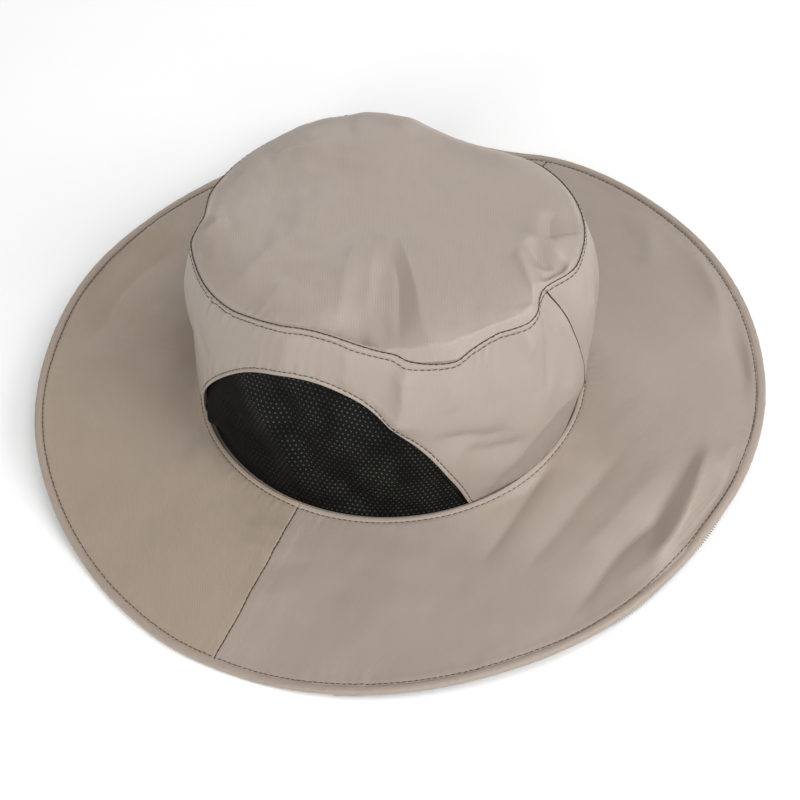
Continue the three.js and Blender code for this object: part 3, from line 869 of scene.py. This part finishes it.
def bandRelief(angle, share):
    around, slant = hat["aroundStep"], hat["slant"]
    x, y = wrapped(angle) * around, share * slant
    behind = x + np.where(x < 0, 360, 0) * around

    def place(at, part):
        return at * around, part * slant

    relief = foldHeight(x, y, crownBand["folds"], place)
    relief += np.where(x < 0, foldHeight(behind, y, crownBand["folds"], place), 0)
    below = slant - y
    relief *= easeStep(0, 4, below) * easeStep(0, 3, y)
    wide, long = hat["headRadius"] * np.cos(np.radians(angle)), hat["headRadius"] * np.sin(np.radians(angle))
    relief += unevenness(wide + y * 0.7, long - y * 0.5, *crownBand["bumps"]) * easeStep(0, 12, below)
    even, rows = crownBand["gathers"]
    gathered = ripple(angle + 0.12 * below, *crownBand["seamPuckers"]) * bell(below - 6, 5)
    relief += (even + moved(rows, angle)) * gathered
    stitchDip = (crownBand["topStitch"], *crownBand["stitchDip"])
    relief += lineRelief(below, crownBand["seamDip"], crownBand["seamSwell"], stitchDip)
    vent = aboveVent(angle, share)
    hem = crownBand["hem"]
    onVent = easeStep(56, 46, fromVent(angle))
    lip = crownBand["ventLip"] * easeStep(-0.2, 0.7, vent) * easeStep(hem + 0.3, hem - 0.5, vent)
    groove = crownBand["ventGroove"] * bell(vent - hem - 0.3, 0.6)
    pull = ripple(angle, *crownBand["ventPuckers"]) * bell(vent - 3, 5) * easeStep(1.2, 2.4, vent)
    base = ripple(angle, *crownBand["basePuckers"]) * bell(y - 5, 4) - 0.5 * bell(y, 0.9)
    return relief + onVent * (lip - groove + pull) + (1 - onVent) * base


def bandSurface(angle, share):
    angle, share = np.broadcast_arrays(angle * 1.0, share * 1.0)
    return bandPlain(angle, share) + outward(angle) * bandRelief(angle, share)[..., None]


def makeCrownBand():
    angle = np.linspace(0, 360, crownBand["around"], endpoint=False)
    close = np.array([0, 0.4, 0.8, 1.2, 1.7, 2.1, 2.5, 2.9, 3.4, 4.2, 5.2])
    low = np.maximum(0.006, ventShare(angle))
    high = 0.9985
    middle = np.linspace(0, 1, 46)[1:-1]
    start = low[None, :] + close[:, None] / hat["slant"]
    end = high - close[::-1, None] / hat["slant"] + 0 * low[None, :]
    between = start[-1] + (end[0] - start[-1]) * middle[:, None]
    shares = np.concatenate([start, between, end])
    grid = bandSurface(angle[None, :], shares)
    away = outward(angle)[None]
    lower = grid - gridNormals(grid, True, away) * crownBand["cloth"]
    vent = aboveVent(angle[None, :], shares)
    onVent = np.where(low > 0.02, 1.0, 0.0)[None, :]
    edge = onVent * bell(vent - 1.0, 1.2) + bell((1 - shares) * hat["slant"] - 1.6, 1.2) * 0.7
    ends = np.append(angle, 360)
    along = ends[None, :] * hat["aroundStep"] * np.ones((len(shares), 1))
    up = np.concatenate([shares, shares[:, :1]], 1) * hat["slant"]
    piece = sheetMesh("crownBand", grid, lower, True, (along, up), {"wornEdgeAndHighlight": np.clip(edge, 0, 1)})
    piece.data.materials.append(bandCloth)
    return piece


crownBandPiece = makeCrownBand()
finishPiece(crownBandPiece, "crown_band_cloth", "crown_band")
print("crown band made", len(crownBandPiece.data.polygons))


sideVents = {
    "half": 53,          # degrees from its middle to its end
    "depth": 2.0,        # behind the outside of the band
    "baseRise": 0.9,     # how much nearer to the outside its foot is
    "thick": 0.8,
    "overlap": 4.0,
    "folds": (           # path in (degrees, share of the height), rise, right, left, crease, flare
        (((-22.4, 0.64), (-12.8, 0.5), (-6.6, 0.38), (-3, 0.25), (-0.6, 0.06)), 2.6, 5, 4, 1.5, 0),
        (((-33, 0.44), (-23, 0.31), (-13.4, 0.21), (-5.6, 0.06)), -2.2, 5, 5, 1.5, 0),
        (((-7.4, 0.74), (-5.6, 0.58), (-2, 0.43), (2.6, 0.25), (9.4, 0.12)), -2.6, 4, 5, 1.2, 0),
        (((9.6, 0.24), (16, 0.16), (22, 0.08)), -2.0, 5, 6, 1.5, 0),
        (((22, 0.32), (27, 0.21), (31, 0.09)), 1.4, 4, 5, 1.5, 0),
        (((28, 0.3), (38, 0.18), (46, 0.08)), -1.2, 4, 5, 1.5, 0),
        (((-44, 0.32), (-43, 0.2), (-38, 0.05)), 4.5, 6, 6, 2, 0),
        (((6, 0.55), (18, 0.45), (30, 0.4)), 0.9, 7, 8, 3, 0),
    ),
    "bumps": (0.3, 16, 31),   # rise, length, seed
    "outMost": (0.7, 2.6),    # how far its folds may stand out at the edge, and how much farther inside
}


def makeSideVent(name, middle):
    around, slant = hat["aroundStep"], hat["slant"]
    angle = np.linspace(middle - sideVents["half"], middle + sideVents["half"], 150)
    top = ventShare(angle) + sideVents["overlap"] / slant
    rows = np.linspace(0, 1, 46)
    tuck = 0.004  # share of the height that is hidden under the brim seam
    share = (top[None, :] + tuck) * rows[:, None] - tuck
    turned = wrapped(angle - middle)[None, :] * (1 if middle == 0 else -1)
    x = turned * around + 0 * share
    y = share * slant

    def place(at, part):
        return at * around, part * slant

    fromEdge = -aboveVent(angle[None, :], share)
    relief = foldHeight(x, y, sideVents["folds"], place) + unevenness(x, y, *sideVents["bumps"])
    relief *= easeStep(0, 6, fromEdge) * easeStep(0, 5, y)
    atEdge, more = sideVents["outMost"]
    relief = np.minimum(relief, atEdge + more * easeStep(2, 9, fromEdge) * easeStep(1, 5, y))
    depth = sideVents["depth"] - sideVents["baseRise"] * easeStep(5, 0, y)
    grid = bandPlain(angle[None, :] + 0 * share, share)
    grid += outward(angle)[None] * (relief - depth)[..., None]
    lower = grid - gridNormals(grid, False, outward(angle)[None]) * sideVents["thick"]
    piece = sheetMesh(name, grid, lower, False, (x, y))
    piece.data.materials.append(ventKnit)
    return piece


for name, node, middle in (("ventLeft", "side_vent_left", 0), ("ventRight", "side_vent_right", 180)):
    finishPiece(makeSideVent(name, middle), "vent_mesh", node)
print("vents made")


brim = {
    "cloth": 1.0,
    "strip": 2.4,        # raised seam strip round the crown
    "outer": 86.6,       # the cloth ends inside the rolled edge
    "overSolid": 0.6,    # the cloth lies this much above the middle of its solid
    "radius": 135,       # to the middle of the brim
    "bumps": ((0.4, 48, 15), (0.1, 14, 16)),   # rise, length, seed
    "stripRise": 0.5,
    "stripGroove": 0.25,
    "tuck": 1.2,         # how far the cloth dips in under the crown
    "stripPuckers": (0.1, 50, 160, 41),   # rise, fewest and most in one turn, seed
    "edgePuckers": (0.13, 70, 240, 43),
    "edgeSwell": (2, 1.5, 0.2),      # beside the rolled edge: distance, half width, rise
    "lapWide": (7.5, 5.5),           # the doubled cloth beside a side seam fades out between these
    "lapRise": 0.2,
    "seamDip": (0, 0.5, -0.45),
    "folds": (           # path in (degrees, share of the way out), rise, right, left, crease, flare
        (((84, 0.02), (67.2, 0.1), (54.9, 0.24), (46, 0.4)), -3.0, 12, 5, 0.3, 0),
        (((93, 0.36), (78.9, 0.32), (69.3, 0.36), (60.6, 0.43), (54, 0.53)), -2.6, 12, 6, 0.3, 0),
        (((92, 0.62), (84.6, 0.56), (79.5, 0.54), (72.9, 0.55), (64, 0.56)), 1.4, 5, 9, 0.3, 0),
        (((86, 0.75), (77.1, 0.7), (70.8, 0.7), (63.9, 0.77), (57, 0.88)), -3.3, 10, 5, 0.3, 0),
        (((79, 0.89), (72.6, 0.86), (67, 0.83)), 1.3, 4, 6, 0.4, 0),
        (((98, 0.68), (92, 0.7), (86, 0.7), (80, 0.72), (75, 0.86)), -3.0, 5, 6, 1.0, 0),
        (((70, 0.94), (79, 0.885), (85, 0.85), (91, 0.805), (96, 0.76), (99.5, 0.7)), 9.5, 6, 9.5, 1.0, 0.4),
        (((97, 0.925), (90, 0.925), (82, 0.92), (72, 0.92)), -3.6, 3.2, 3, 0.3, 0),
        (((100, 0.9), (96, 0.86), (92, 0.87)), 1.2, 3, 3, 0.6, 0),
        (((146, 0.95), (139, 0.9), (132.5, 0.87), (124, 0.82), (118, 0.78)), 3.6, 6.5, 7, 0.4, 0),
        (((132, 0.84), (124, 0.85), (116, 0.87), (106, 0.88)), -2.2, 4, 8, 0.5, 0),
        (((126, 0.7), (119.4, 0.83), (110, 0.93)), -1.0, 6, 6, 2, 0),
        (((157, 0.9), (150, 0.75), (143, 0.6)), 1.2, 4, 7, 1.5, 0),
        (((112, 0.48), (104.7, 0.34), (90, 0.2)), 0.8, 6, 9, 2, 0),
        (((254, 0.66), (266, 0.72), (277, 0.74), (290, 0.78)), -3.4, 13, 10, 1.5, 0),
        (((266, 0.44), (275.7, 0.54), (287, 0.64)), -0.8, 5, 8, 1.5, 0),
        (((272, 0.06), (290, 0.07), (305, 0.08), (326, 0.08)), -6.0, 28, 7, 1.5, 0),
        (((260, 0.9), (268.5, 0.92), (276, 0.9)), -0.8, 4, 6, 1.5, 0),
        (((334, 0.1), (345, 0.18), (356, 0.21)), -0.9, 3, 5, 0.8, 0),
        (((5, 0.14), (357.6, 0.18), (349, 0.21)), 0.6, 4, 4, 1.5, 0),
        (((5, 0.25), (357, 0.3), (350, 0.33)), 0.6, 4, 4, 1.5, 0),
        (((13, 0.27), (4.2, 0.35), (358, 0.42)), -0.6, 4, 5, 1.5, 0),
        (((11, 0.45), (3.9, 0.55), (358, 0.62)), 0.6, 5, 5, 1.5, 0),
        (((12, 0.18), (25.8, 0.25), (41, 0.3)), 0.6, 7, 9, 2, 0),
        (((322, 0.12), (318, 0.3), (312, 0.55)), -0.8, 6, 12, 3, 0),
        (((162, 0.85), (153.6, 0.77), (144, 0.64)), 0.8, 6, 8, 2, 0),
        (((198, 0.3), (201, 0.55), (204, 0.8)), 1.4, 8, 10, 3, 0),
        (((240, 0.3), (236, 0.55), (232, 0.8)), 1.2, 8, 10, 3, 0),
    ),
}


def brimFoldPlace(at, part):
    spot = brimPlain(np.array(at * 1.0), np.array(part * hat["brimReach"]))
    return spot[..., 0], spot[..., 1]


def brimSurface(angle, reach):
    angle, reach = np.broadcast_arrays(angle * 1.0, reach * 1.0)
    point = brimPlain(angle, reach)
    x, y = point[..., 0], point[..., 1]
    fromEdge = hat["brimReach"] - hat["bindingWide"] - reach
    onTable = easeStep(6, 2, edgeHeight(angle))
    calm = easeStep(0, 7, reach) * (1 - easeStep(7, 0, fromEdge) * (0.4 + 0.6 * onTable))
    height = foldHeight(x, y, brim["folds"], brimFoldPlace)
    height += sum(unevenness(x, y, *row) for row in brim["bumps"])
    height *= calm
    strip = brim["strip"]
    height += brim["stripRise"] * easeStep(0.0, 0.6, reach) * easeStep(strip + 0.3, strip - 0.5, reach)
    height -= brim["tuck"] * easeStep(0.6, -0.4, reach) + brim["stripGroove"] * bell(reach - strip - 0.3, 0.6)
    height += ripple(angle, *brim["stripPuckers"]) * bell(reach - 4.5, 4) * easeStep(2.4, 4, reach)
    height += lineRelief(fromEdge, brim["edgeSwell"])
    height += ripple(angle, *brim["edgePuckers"]) * bell(fromEdge - 2, 5)
    fromSeam = np.minimum(np.abs(wrapped(angle)), np.abs(wrapped(angle - 180)))
    fromSeam = np.radians(fromSeam) * (hat["headRadius"] + reach)
    height += brim["lapRise"] * easeStep(*brim["lapWide"], fromSeam) + lineRelief(fromSeam, brim["seamDip"])
    height += 0.15 * np.sin(reach * 1.3 + np.sin(reach * 0.7) * 2) * bell(fromSeam - 1.5, 3)  # uneven seam
    point[..., 2] += brim["overSolid"] + height
    return point


def makeBrimHalf(name, start, material):
    close = np.array([0.05, 0.12, 0.2, 0.3, 0.45, 0.65, 0.9, 1.25, 1.7, 2.2, 2.8])
    middle = np.linspace(close[-1], 180 - close[-1], 372)
    angle = start + np.concatenate([close[:-1], middle, 180 - close[:-1][::-1]])
    near = np.array([-1.0, -0.5, 0, 0.3, 0.6, 1.0, 1.6, 2.1, 2.5, 2.9, 3.4, 4.2, 5.2])
    far = brim["outer"] - np.array([0, 0.5, 1.0, 1.6, 2.3, 3.1, 4.1, 5.2])[::-1]
    reach = np.concatenate([near, np.linspace(near[-1], far[0], 54)[1:-1], far])
    grid = brimSurface(angle[None, :], reach[:, None])
    lower = grid - gridNormals(grid, False, np.array([0, 0, 1.0])) * brim["cloth"]
    edge = np.tile(bell(reach[:, None] - 1.3, 1.2), (1, len(angle)))
    along = np.radians(angle - start)[None, :] * brim["radius"] * np.ones((len(reach), 1))
    piece = sheetMesh(name, grid, lower, False, (along, reach[:, None] + 0 * along), {"wornEdgeAndHighlight": edge})
    piece.data.materials.append(material)
    return piece


for name, node, start, material in (
    ("brimBack", "brim_back", 0, backCloth),
    ("brimFront", "brim_front", 180, frontCloth),
):
    finishPiece(makeBrimHalf(name, start, material), "brim_cloth", node)
    print(name, "made")


binding = {
    "tall": 3.3,
    "sides": 14,
    "around": 1080,
    "radius": 182,
    "round": (0.55, 0.78, 0.8),      # section powers below, above and across; a small one makes it boxy
    "lumps": (0.05, 30, 110, 51),    # rise, fewest and most in one turn, seed
    "fineLumps": (0.03, 120, 300, 52),
    "width": (0.97, 0.02, 60, 200, 53),
    "joins": ((80, 1.2, 0.14), (80, 0.25, -0.18)),   # where its ends meet: degrees, half width, rise
    "paleBand": (0.9, 0.8),              # turn of the paler band painted as a highlight on its upper outer side, half width
}


def bindingMiddle(angle):
    point = brimPlain(angle, np.full(np.shape(angle), hat["brimReach"] - hat["bindingWide"] / 2))
    point[..., 2] = edgeHeight(angle)
    return point


# Rolled edge section: flat below, soft and rounded above; turn 0 points away from the hat
def bindingSurface(angle, turn):
    angle, turn = np.broadcast_arrays(angle * 1.0, turn * 1.0)
    side, up = np.cos(turn), np.sin(turn)
    low, high, flat = binding["round"]
    across = np.sign(side) * np.abs(side) ** flat * hat["bindingWide"] / 2
    rise = np.sign(up) * np.abs(up) ** np.where(up < 0, low, high) * binding["tall"] / 2
    swell = 1 + ripple(angle, *binding["lumps"]) + moved(binding["joins"], angle)
    swell += ripple(angle + np.degrees(turn) * 0.25, *binding["fineLumps"])
    rise = np.where(rise > 0, rise * swell, rise)
    share, *row = binding["width"]
    point = bindingMiddle(angle) + outward(angle) * (across * (share + ripple(angle, *row)))[..., None]
    point[..., 2] = np.maximum(0.02, point[..., 2] + rise)
    return point


def makeBinding():
    angle = np.linspace(0, 360, binding["around"], endpoint=False)
    turn = np.linspace(0, 2 * math.pi, binding["sides"], endpoint=False)
    grid = bindingSurface(angle[None, :], turn[:, None])
    closed = np.concatenate([grid, grid[:1]])
    along = np.radians(np.append(angle, 360))[None, :] * binding["radius"] * np.ones((len(closed), 1))
    across = np.linspace(0, 14, len(closed))[:, None] + 0 * along
    # painted highlight: a paler band along the upper outer side of the rolled edge
    at, wide = binding["paleBand"]
    edge = np.tile(bell(np.linspace(0, 2 * math.pi, len(closed))[:, None] - at, wide), (1, len(angle)))
    piece = sheetMesh("brimBinding", closed, None, True, (along, across), {"wornEdgeAndHighlight": edge})
    weldPiece(piece, bindingCloth)
    return piece


bindingPiece = makeBinding()
finishPiece(bindingPiece, "binding_cloth", "brim_binding")
print("rolled edge made", len(bindingPiece.data.polygons))


veil = {
    "around": 540,
    "radius": 177,
    "turns": (84.0, 14.0, 66.0, 16.0, 64.0, 20.0),   # reach where each run of the folded net ends
    "runSteps": 13,
    "layerGap": (0.75, 0.05, 4),     # at least, and more for each millimetre of room past so many
    "gather": 0.55,
    "gathers": (1, 20, 70, 63),      # rise, fewest and most in one turn, seed
    "peeks": (                       # past the rolled edge: degrees, half width, millimetres
        (305, 16, 0.9), (253, 7, 0.9), (225, 8, 0.9), (66, 5, 0.9), (82, 4, 0.7),
    ),
    "peekRipple": (0.3, 12, 40, 61),
    "hidden": 0.7,                   # how far it stops short of the edge elsewhere
    "onTable": 6.5,                  # the same where the brim lies on the table
    "underCloth": 1.55,
    "underEdge": 0.3,
    "overTable": 0.25,
    "flat": (1.11, 0.28),            # metres: rim length, and a veil that reaches the neck
}


# Path of the net in from the rolled edge and back, as reach and layer number
def veilProfile():
    reach, layer = [], []
    turns = veil["turns"]
    for index, (start, end) in enumerate(zip(turns, turns[1:])):
        isLast = index == len(turns) - 2
        steps = np.linspace(0, 1, veil["runSteps"])[:None if isLast else -1]
        reach.extend(start + (end - start) * steps)
        layer.extend(index + easeStep(0.86, 1.14, steps) - easeStep(0.14, -0.14, steps))
    return np.array(reach), np.array(layer)


def makeVeil():
    angle = np.linspace(0, 360, veil["around"], endpoint=False)
    reach, layer = veilProfile()
    lifted = easeStep(4.4, 7, edgeHeight(angle))
    peek = moved(veil["peeks"], angle) * (1 + ripple(angle, *veil["peekRipple"])) - veil["hidden"]
    outside = np.where(lifted > 0.02, peek * lifted, -veil["onTable"]) + hat["brimReach"]
    hem = np.linspace(0, 1, 5)[:-1]
    hemReach = outside[None, :] + (veil["turns"][0] - outside)[None, :] * hem[:, None]
    path = np.concatenate([hemReach, np.tile(reach[:, None], (1, len(angle)))])
    levels = np.concatenate([0 * hem, layer])
    point = brimPlain(angle[None, :], path)
    belowBrim = brimSurface(angle[None, :], np.minimum(path, brim["outer"]))[..., 2] - veil["underCloth"]
    belowBinding = edgeHeight(angle)[None, :] - hat["bindingTall"] / 2 - veil["underEdge"]
    room = np.maximum(0, belowBrim - 0.4)
    least, more, past = veil["layerGap"]
    step = np.minimum(least + more * np.maximum(0, room - past), room / 5.2)
    gathers = np.stack([ripple(angle + 7 * level, *veil["gathers"]) for level in levels])
    drop = levels[:, None] * step + step * veil["gather"] * (0.5 + 0.5 * np.clip(gathers, -1, 1))
    height = belowBrim - np.minimum(drop, room)
    nearRim = easeStep(80, 84.2, path)
    height = height * (1 - nearRim) + np.minimum(belowBrim, belowBinding) * nearRim
    point[..., 2] = np.maximum(height, veil["overTable"])
    lengths = np.concatenate([[0], np.cumsum(np.abs(np.diff(path.mean(1))))])
    along = np.radians(np.append(angle, 360))[None, :] * veil["radius"] * np.ones((len(lengths), 1))
    piece = sheetMesh("veilNet", point, None, True, (along, lengths[:, None] + 0 * along))
    piece.data.materials.append(netting)
    return piece


veilPiece = makeVeil()
finishPiece(veilPiece, "veil_net", "veil_net")
print("veil net made", len(veilPiece.data.polygons))


stitching = {
    "length": 2.5,
    "gap": 0.32,
    "thick": 0.4,
    "tilt": 0.12,
    "seed": 3,
    "shadeLine": 0.17,       # half thickness of the dark line of painted shade in a seam
    "beside": 0.3,       # from a raised strip to the row of stitches beside it
    "onBand": 0.22,      # how far the middle of each row stands over its cloth
    "onTop": 0.25,
    "onVent": 0.2,
    "onStrip": 0.2,
    "onEdge": 0.15,
    "onSeam": 0.3,
    "topShadeLine": (0.1, -0.5),         # out and up from the top seam
    "baseShadeLine": (0.2, 0.35),        # out and up from the crown's foot
    "sideShadeLine": 0.12,
    "baseParts": ((51.5, 128.5), (231.5, 308.5)),   # degrees where the band meets the brim
}


# Loose polyline mesh from lists of points in millimetres; a closed line ends on its first point
def pathMesh(name, lines):
    points, edges = [], []
    for line, isClosed in lines:
        first = len(points)
        points.extend((np.asarray(line) * mm).tolist())
        edges.extend((first + k, first + k + 1) for k in range(len(line) - 1))
        if isClosed:
            edges.append((len(points) - 1, first))
    mesh = bpy.data.meshes.new(name)
    mesh.from_pydata(points, edges, [])
    return addObject(name, mesh)


def growthTree(name, inputs):
    inputs = [("Geometry", "Geometry"), *inputs, ("Material", "Material")]
    return newTree(name, "GeometryNodeTree", inputs, [("Geometry", "Geometry")])


def endGrowth(w, geometry, given, result):
    real = w.node("GeometryNodeRealizeInstances", Geometry=geometry)
    dressed = w.node("GeometryNodeSetMaterial", Geometry=real.outputs[0], Material=given["Material"])
    w.put(result[0], dressed.outputs[0])


# Slightly tilted stitches, evenly spaced along the lines
def stitchTree():
    w, given, result = growthTree("seam stitches", [
        ("Stitch Length", "Float"), ("Gap", "Float"), ("Thread", "Float"), ("Tilt", "Float"), ("Seed", "Int"),
    ])
    line = w.node("GeometryNodeMeshToCurve", Mesh=given["Geometry"]).outputs[0]
    pitch = w.plus(given["Stitch Length"], given["Gap"])
    spaced = w.node("GeometryNodeResampleCurve", {"mode": "LENGTH"}, Curve=line, Length=pitch)
    ball = w.node("GeometryNodeMeshUVSphere", Segments=6, Rings=5, Radius=0.5)
    size = w.node("ShaderNodeCombineXYZ", X=given["Thread"], Y=given["Thread"], Z=given["Stitch Length"])
    stitch = w.node("GeometryNodeTransform", Geometry=ball.outputs[0], Scale=size.outputs[0])
    lean = w.node(
        "FunctionNodeRandomValue", {"data_type": "FLOAT_VECTOR"}, Min=(-1, -1, -1), Max=(1, 1, 1),
        Seed=given["Seed"])
    tilt = w.node("ShaderNodeVectorMath", {"operation": "SCALE"}, Vector=lean.outputs[0], Scale=given["Tilt"])
    tangent = w.node("GeometryNodeInputTangent").outputs[0]
    heading = w.plus(tangent, tilt.outputs[0], kind="ShaderNodeVectorMath")
    turned = w.node("FunctionNodeAlignRotationToVector", {"axis": "Z"}, Vector=heading)
    placed = w.node(
        "GeometryNodeInstanceOnPoints", Points=spaced.outputs[0], Instance=stitch.outputs[0],
        Rotation=turned.outputs[0])
    endGrowth(w, placed.outputs[0], given, result)
    return w.tree


# Thin closed dark tubes along the lines, painted shade in the seams' crevices
def shadeLineTree():
    w, given, result = growthTree("seam shade lines", [("Half Thickness", "Float")])
    line = w.node("GeometryNodeMeshToCurve", Mesh=given["Geometry"]).outputs[0]
    section = w.node("GeometryNodeCurvePrimitiveCircle", Resolution=5, Radius=given["Half Thickness"])
    tube = w.node("GeometryNodeCurveToMesh", Curve=line, Profile_Curve=section.outputs[0], Fill_Caps=True)
    endGrowth(w, tube.outputs[0], given, result)
    return w.tree


# Grow a piece from its lines and keep it as a plain mesh
def growPiece(name, lines, tree, values):
    piece = pathMesh(name, lines)
    modifier = piece.modifiers.new(tree.name, "NODES")
    modifier.node_group = tree
    for socket in tree.interface.items_tree:
        if socket.in_out == "INPUT" and socket.name in values:
            modifier[socket.identifier] = values[socket.name]
    depsgraph = bpy.context.evaluated_depsgraph_get()
    depsgraph.update()
    grown = bpy.data.meshes.new_from_object(piece.evaluated_get(depsgraph))
    piece.modifiers.remove(modifier)
    piece.data = grown
    grown.shade_smooth()
    finishPiece(piece, "binding_cloth")
    print(name, "made", len(grown.polygons))


# Lines of stitches, and dark lines of painted shade sunk in the seams, each with a mark for a closed one
def seamLines():
    ring = np.linspace(0, 360, 720, endpoint=False)
    stitches, shadeLines = [], []
    up = np.array([0, 0, 1.0])
    topLine = bandSurface(ring, 1 - crownBand["topStitch"] / hat["slant"] + 0 * ring)
    stitches.append((topLine + outward(ring) * stitching["onBand"], True))
    out, rise = stitching["topShadeLine"]
    shadeLine = seamPoint(ring) + outward(ring) * out + up * rise
    shadeLines.append((shadeLine, True))
    stitches.append((shadeLine + outward(ring) * stitching["onTop"], True))
    stripLine = brimSurface(ring, brim["strip"] + stitching["beside"] + 0 * ring)
    stitches.append((stripLine + up * stitching["onStrip"], True))
    edgeLine = brimSurface(ring, hat["brimReach"] - hat["bindingWide"] - 0.2 + 0 * ring)
    stitches.append((edgeLine + up * stitching["onEdge"], True))
    for side, middle in ((0, hat["ventTurn"]), (180, 180 - hat["ventTurn"])):
        half, power = hat["ventHalf"], hat["ventRound"]
        away = np.linspace(-half - 0.5, half + 0.5, 240)
        slope = power * (np.abs(away) / half) ** (power - 1) / half
        slope *= hat["ventRise"] * hat["slant"] / hat["aroundStep"]
        out = (crownBand["hem"] + stitching["beside"]) / np.hypot(1, slope)
        beside = middle + away + np.sign(away) * out * slope / hat["aroundStep"]
        high = ventShare(middle + away) + out / hat["slant"]
        stitches.append((bandSurface(beside, high) + outward(beside) * stitching["onVent"], False))
        seam = np.linspace(3.2, brim["outer"] - 2.0, 120)
        sideSeam = brimSurface(side + 0 * seam, seam)
        shadeLines.append((sideSeam + up * stitching["sideShadeLine"], False))
        stitches.append((sideSeam + up * stitching["onSeam"], False))
    out, rise = stitching["baseShadeLine"]
    for start, end in stitching["baseParts"]:
        part = np.linspace(start, end, 160)
        shadeLines.append((basePoint(part) + outward(part) * out + up * rise, False))
    backPath = smoothPath(crownBand["backSeam"])
    for aside in crownBand["backShadeLines"]:
        shadeLines.append((bandSurface(backPath[:, 0] + aside, backPath[:, 1]), False))
    return stitches, shadeLines


stitchLines, seamShadeLines = seamLines()
growPiece("stitches", stitchLines, stitchTree(), {
    "Stitch Length": stitching["length"] * mm, "Gap": stitching["gap"] * mm,
    "Thread": stitching["thick"] * mm, "Tilt": stitching["tilt"], "Seed": stitching["seed"],
    "Material": sewingThread,
})
growPiece("seamShadeTubes", seamShadeLines, shadeLineTree(), {
    "Half Thickness": stitching["shadeLine"] * mm, "Material": seamShadow,
})


stage = {
    "floorSize": 8.0,
    "floorColor": (0.95, 0.95, 0.95, 1),
    "grainColor": (0.93575, 0.93575, 0.93575, 1),
    "grain": 400.0,
    "floorGlow": 0.1,
    "sky": 0.0,
    "lightAway": 1.6,
    "lightSize": 0.7,
    "lightAim": (0, 0, 0.05),
}

# Soft lights round the hat: turn from the front, height, watts
softBoxes = {
    "mainBox": (180, 33, 11.9),
    "highBox": (180, 60, 7.7),
    "cornerBox": (135, 35, 6.0),
    "leftBox": (90, 25, 7.7),
    "rightBox": (315, 30, 6.5),
    "topBox": (225, 35, 4.7),
    "frontBox": (45, 22, 6.0),
    "farBox": (270, 15, 3.0),
}


def makeFloor():
    half = stage["floorSize"] / 2
    corners = [(-half, -half, 0), (half, -half, 0), (half, half, 0), (-half, half, 0)]
    mesh = bpy.data.meshes.new("paleFloor")
    mesh.from_pydata(corners, [], [(0, 1, 2, 3)])
    material, w, shader = startMaterial("palePaper")
    grain = w.noise(w.node("ShaderNodeTexCoord").outputs["Object"], stage["grain"])
    w.put(shader.inputs["Base Color"], w.mixColor(grain, stage["grainColor"], stage["floorColor"]))
    shader.inputs["Roughness"].default_value = 0.9
    shader.inputs["Specular IOR Level"].default_value = 0.1
    shader.inputs["Emission Color"].default_value = (1, 1, 1, 1)
    shader.inputs["Emission Strength"].default_value = stage["floorGlow"]
    mesh.materials.append(material)
    addObject("paleFloor", mesh)


# Direction from the hat at a turn from the front and a height, both in degrees
def direction(turn, height):
    a, e = math.radians(turn), math.radians(height)
    return Vector((math.sin(a) * math.cos(e), -math.cos(a) * math.cos(e), math.sin(e)))


def makeLight(name, turn, height, power):
    light = bpy.data.lights.new(name, "AREA")
    light.shape = "DISK"
    light.size = stage["lightSize"]
    light.energy = power
    lamp = addObject(name, light)
    away = direction(turn, height)
    lamp.location = away * stage["lightAway"] + Vector(stage["lightAim"])
    lamp.rotation_euler = away.to_track_quat("Z", "Y").to_euler()


makeFloor()
for name, row in softBoxes.items():
    makeLight(name, *row)
bpy.context.scene.view_settings.view_transform = "Standard"
world = bpy.data.worlds.new("studio")
world.use_nodes = True
world.node_tree.nodes["Background"].inputs["Color"].default_value = (1, 1, 1, 1)
world.node_tree.nodes["Background"].inputs["Strength"].default_value = stage["sky"]
bpy.context.scene.world = world
print("stage made")


view = {
    "turn": 133.0, "height": 50.0, "roll": 17.0,
    "aim": (0.0273, 0.0276, 0.04), "distance": 0.95, "lens": 89.24,
}


def makeCamera():
    back = direction(view["turn"], view["height"])
    a, r = math.radians(view["turn"]), math.radians(view["roll"])
    right = Vector((math.cos(a), math.sin(a), 0))
    up = back.cross(right)
    side = right * math.cos(r) - up * math.sin(r)
    top = right * math.sin(r) + up * math.cos(r)
    lens = bpy.data.cameras.new("photoCamera")
    lens.lens = view["lens"]
    lens.sensor_width = 36
    lens.clip_start = 0.05
    camera = addObject("photoCamera", lens)
    turn = Matrix((side, top, back)).transposed().to_4x4()
    camera.matrix_world = Matrix.Translation(Vector(view["aim"]) + back * view["distance"]) @ turn
    bpy.context.scene.camera = camera


makeCamera()
bpy.context.view_layer.update()
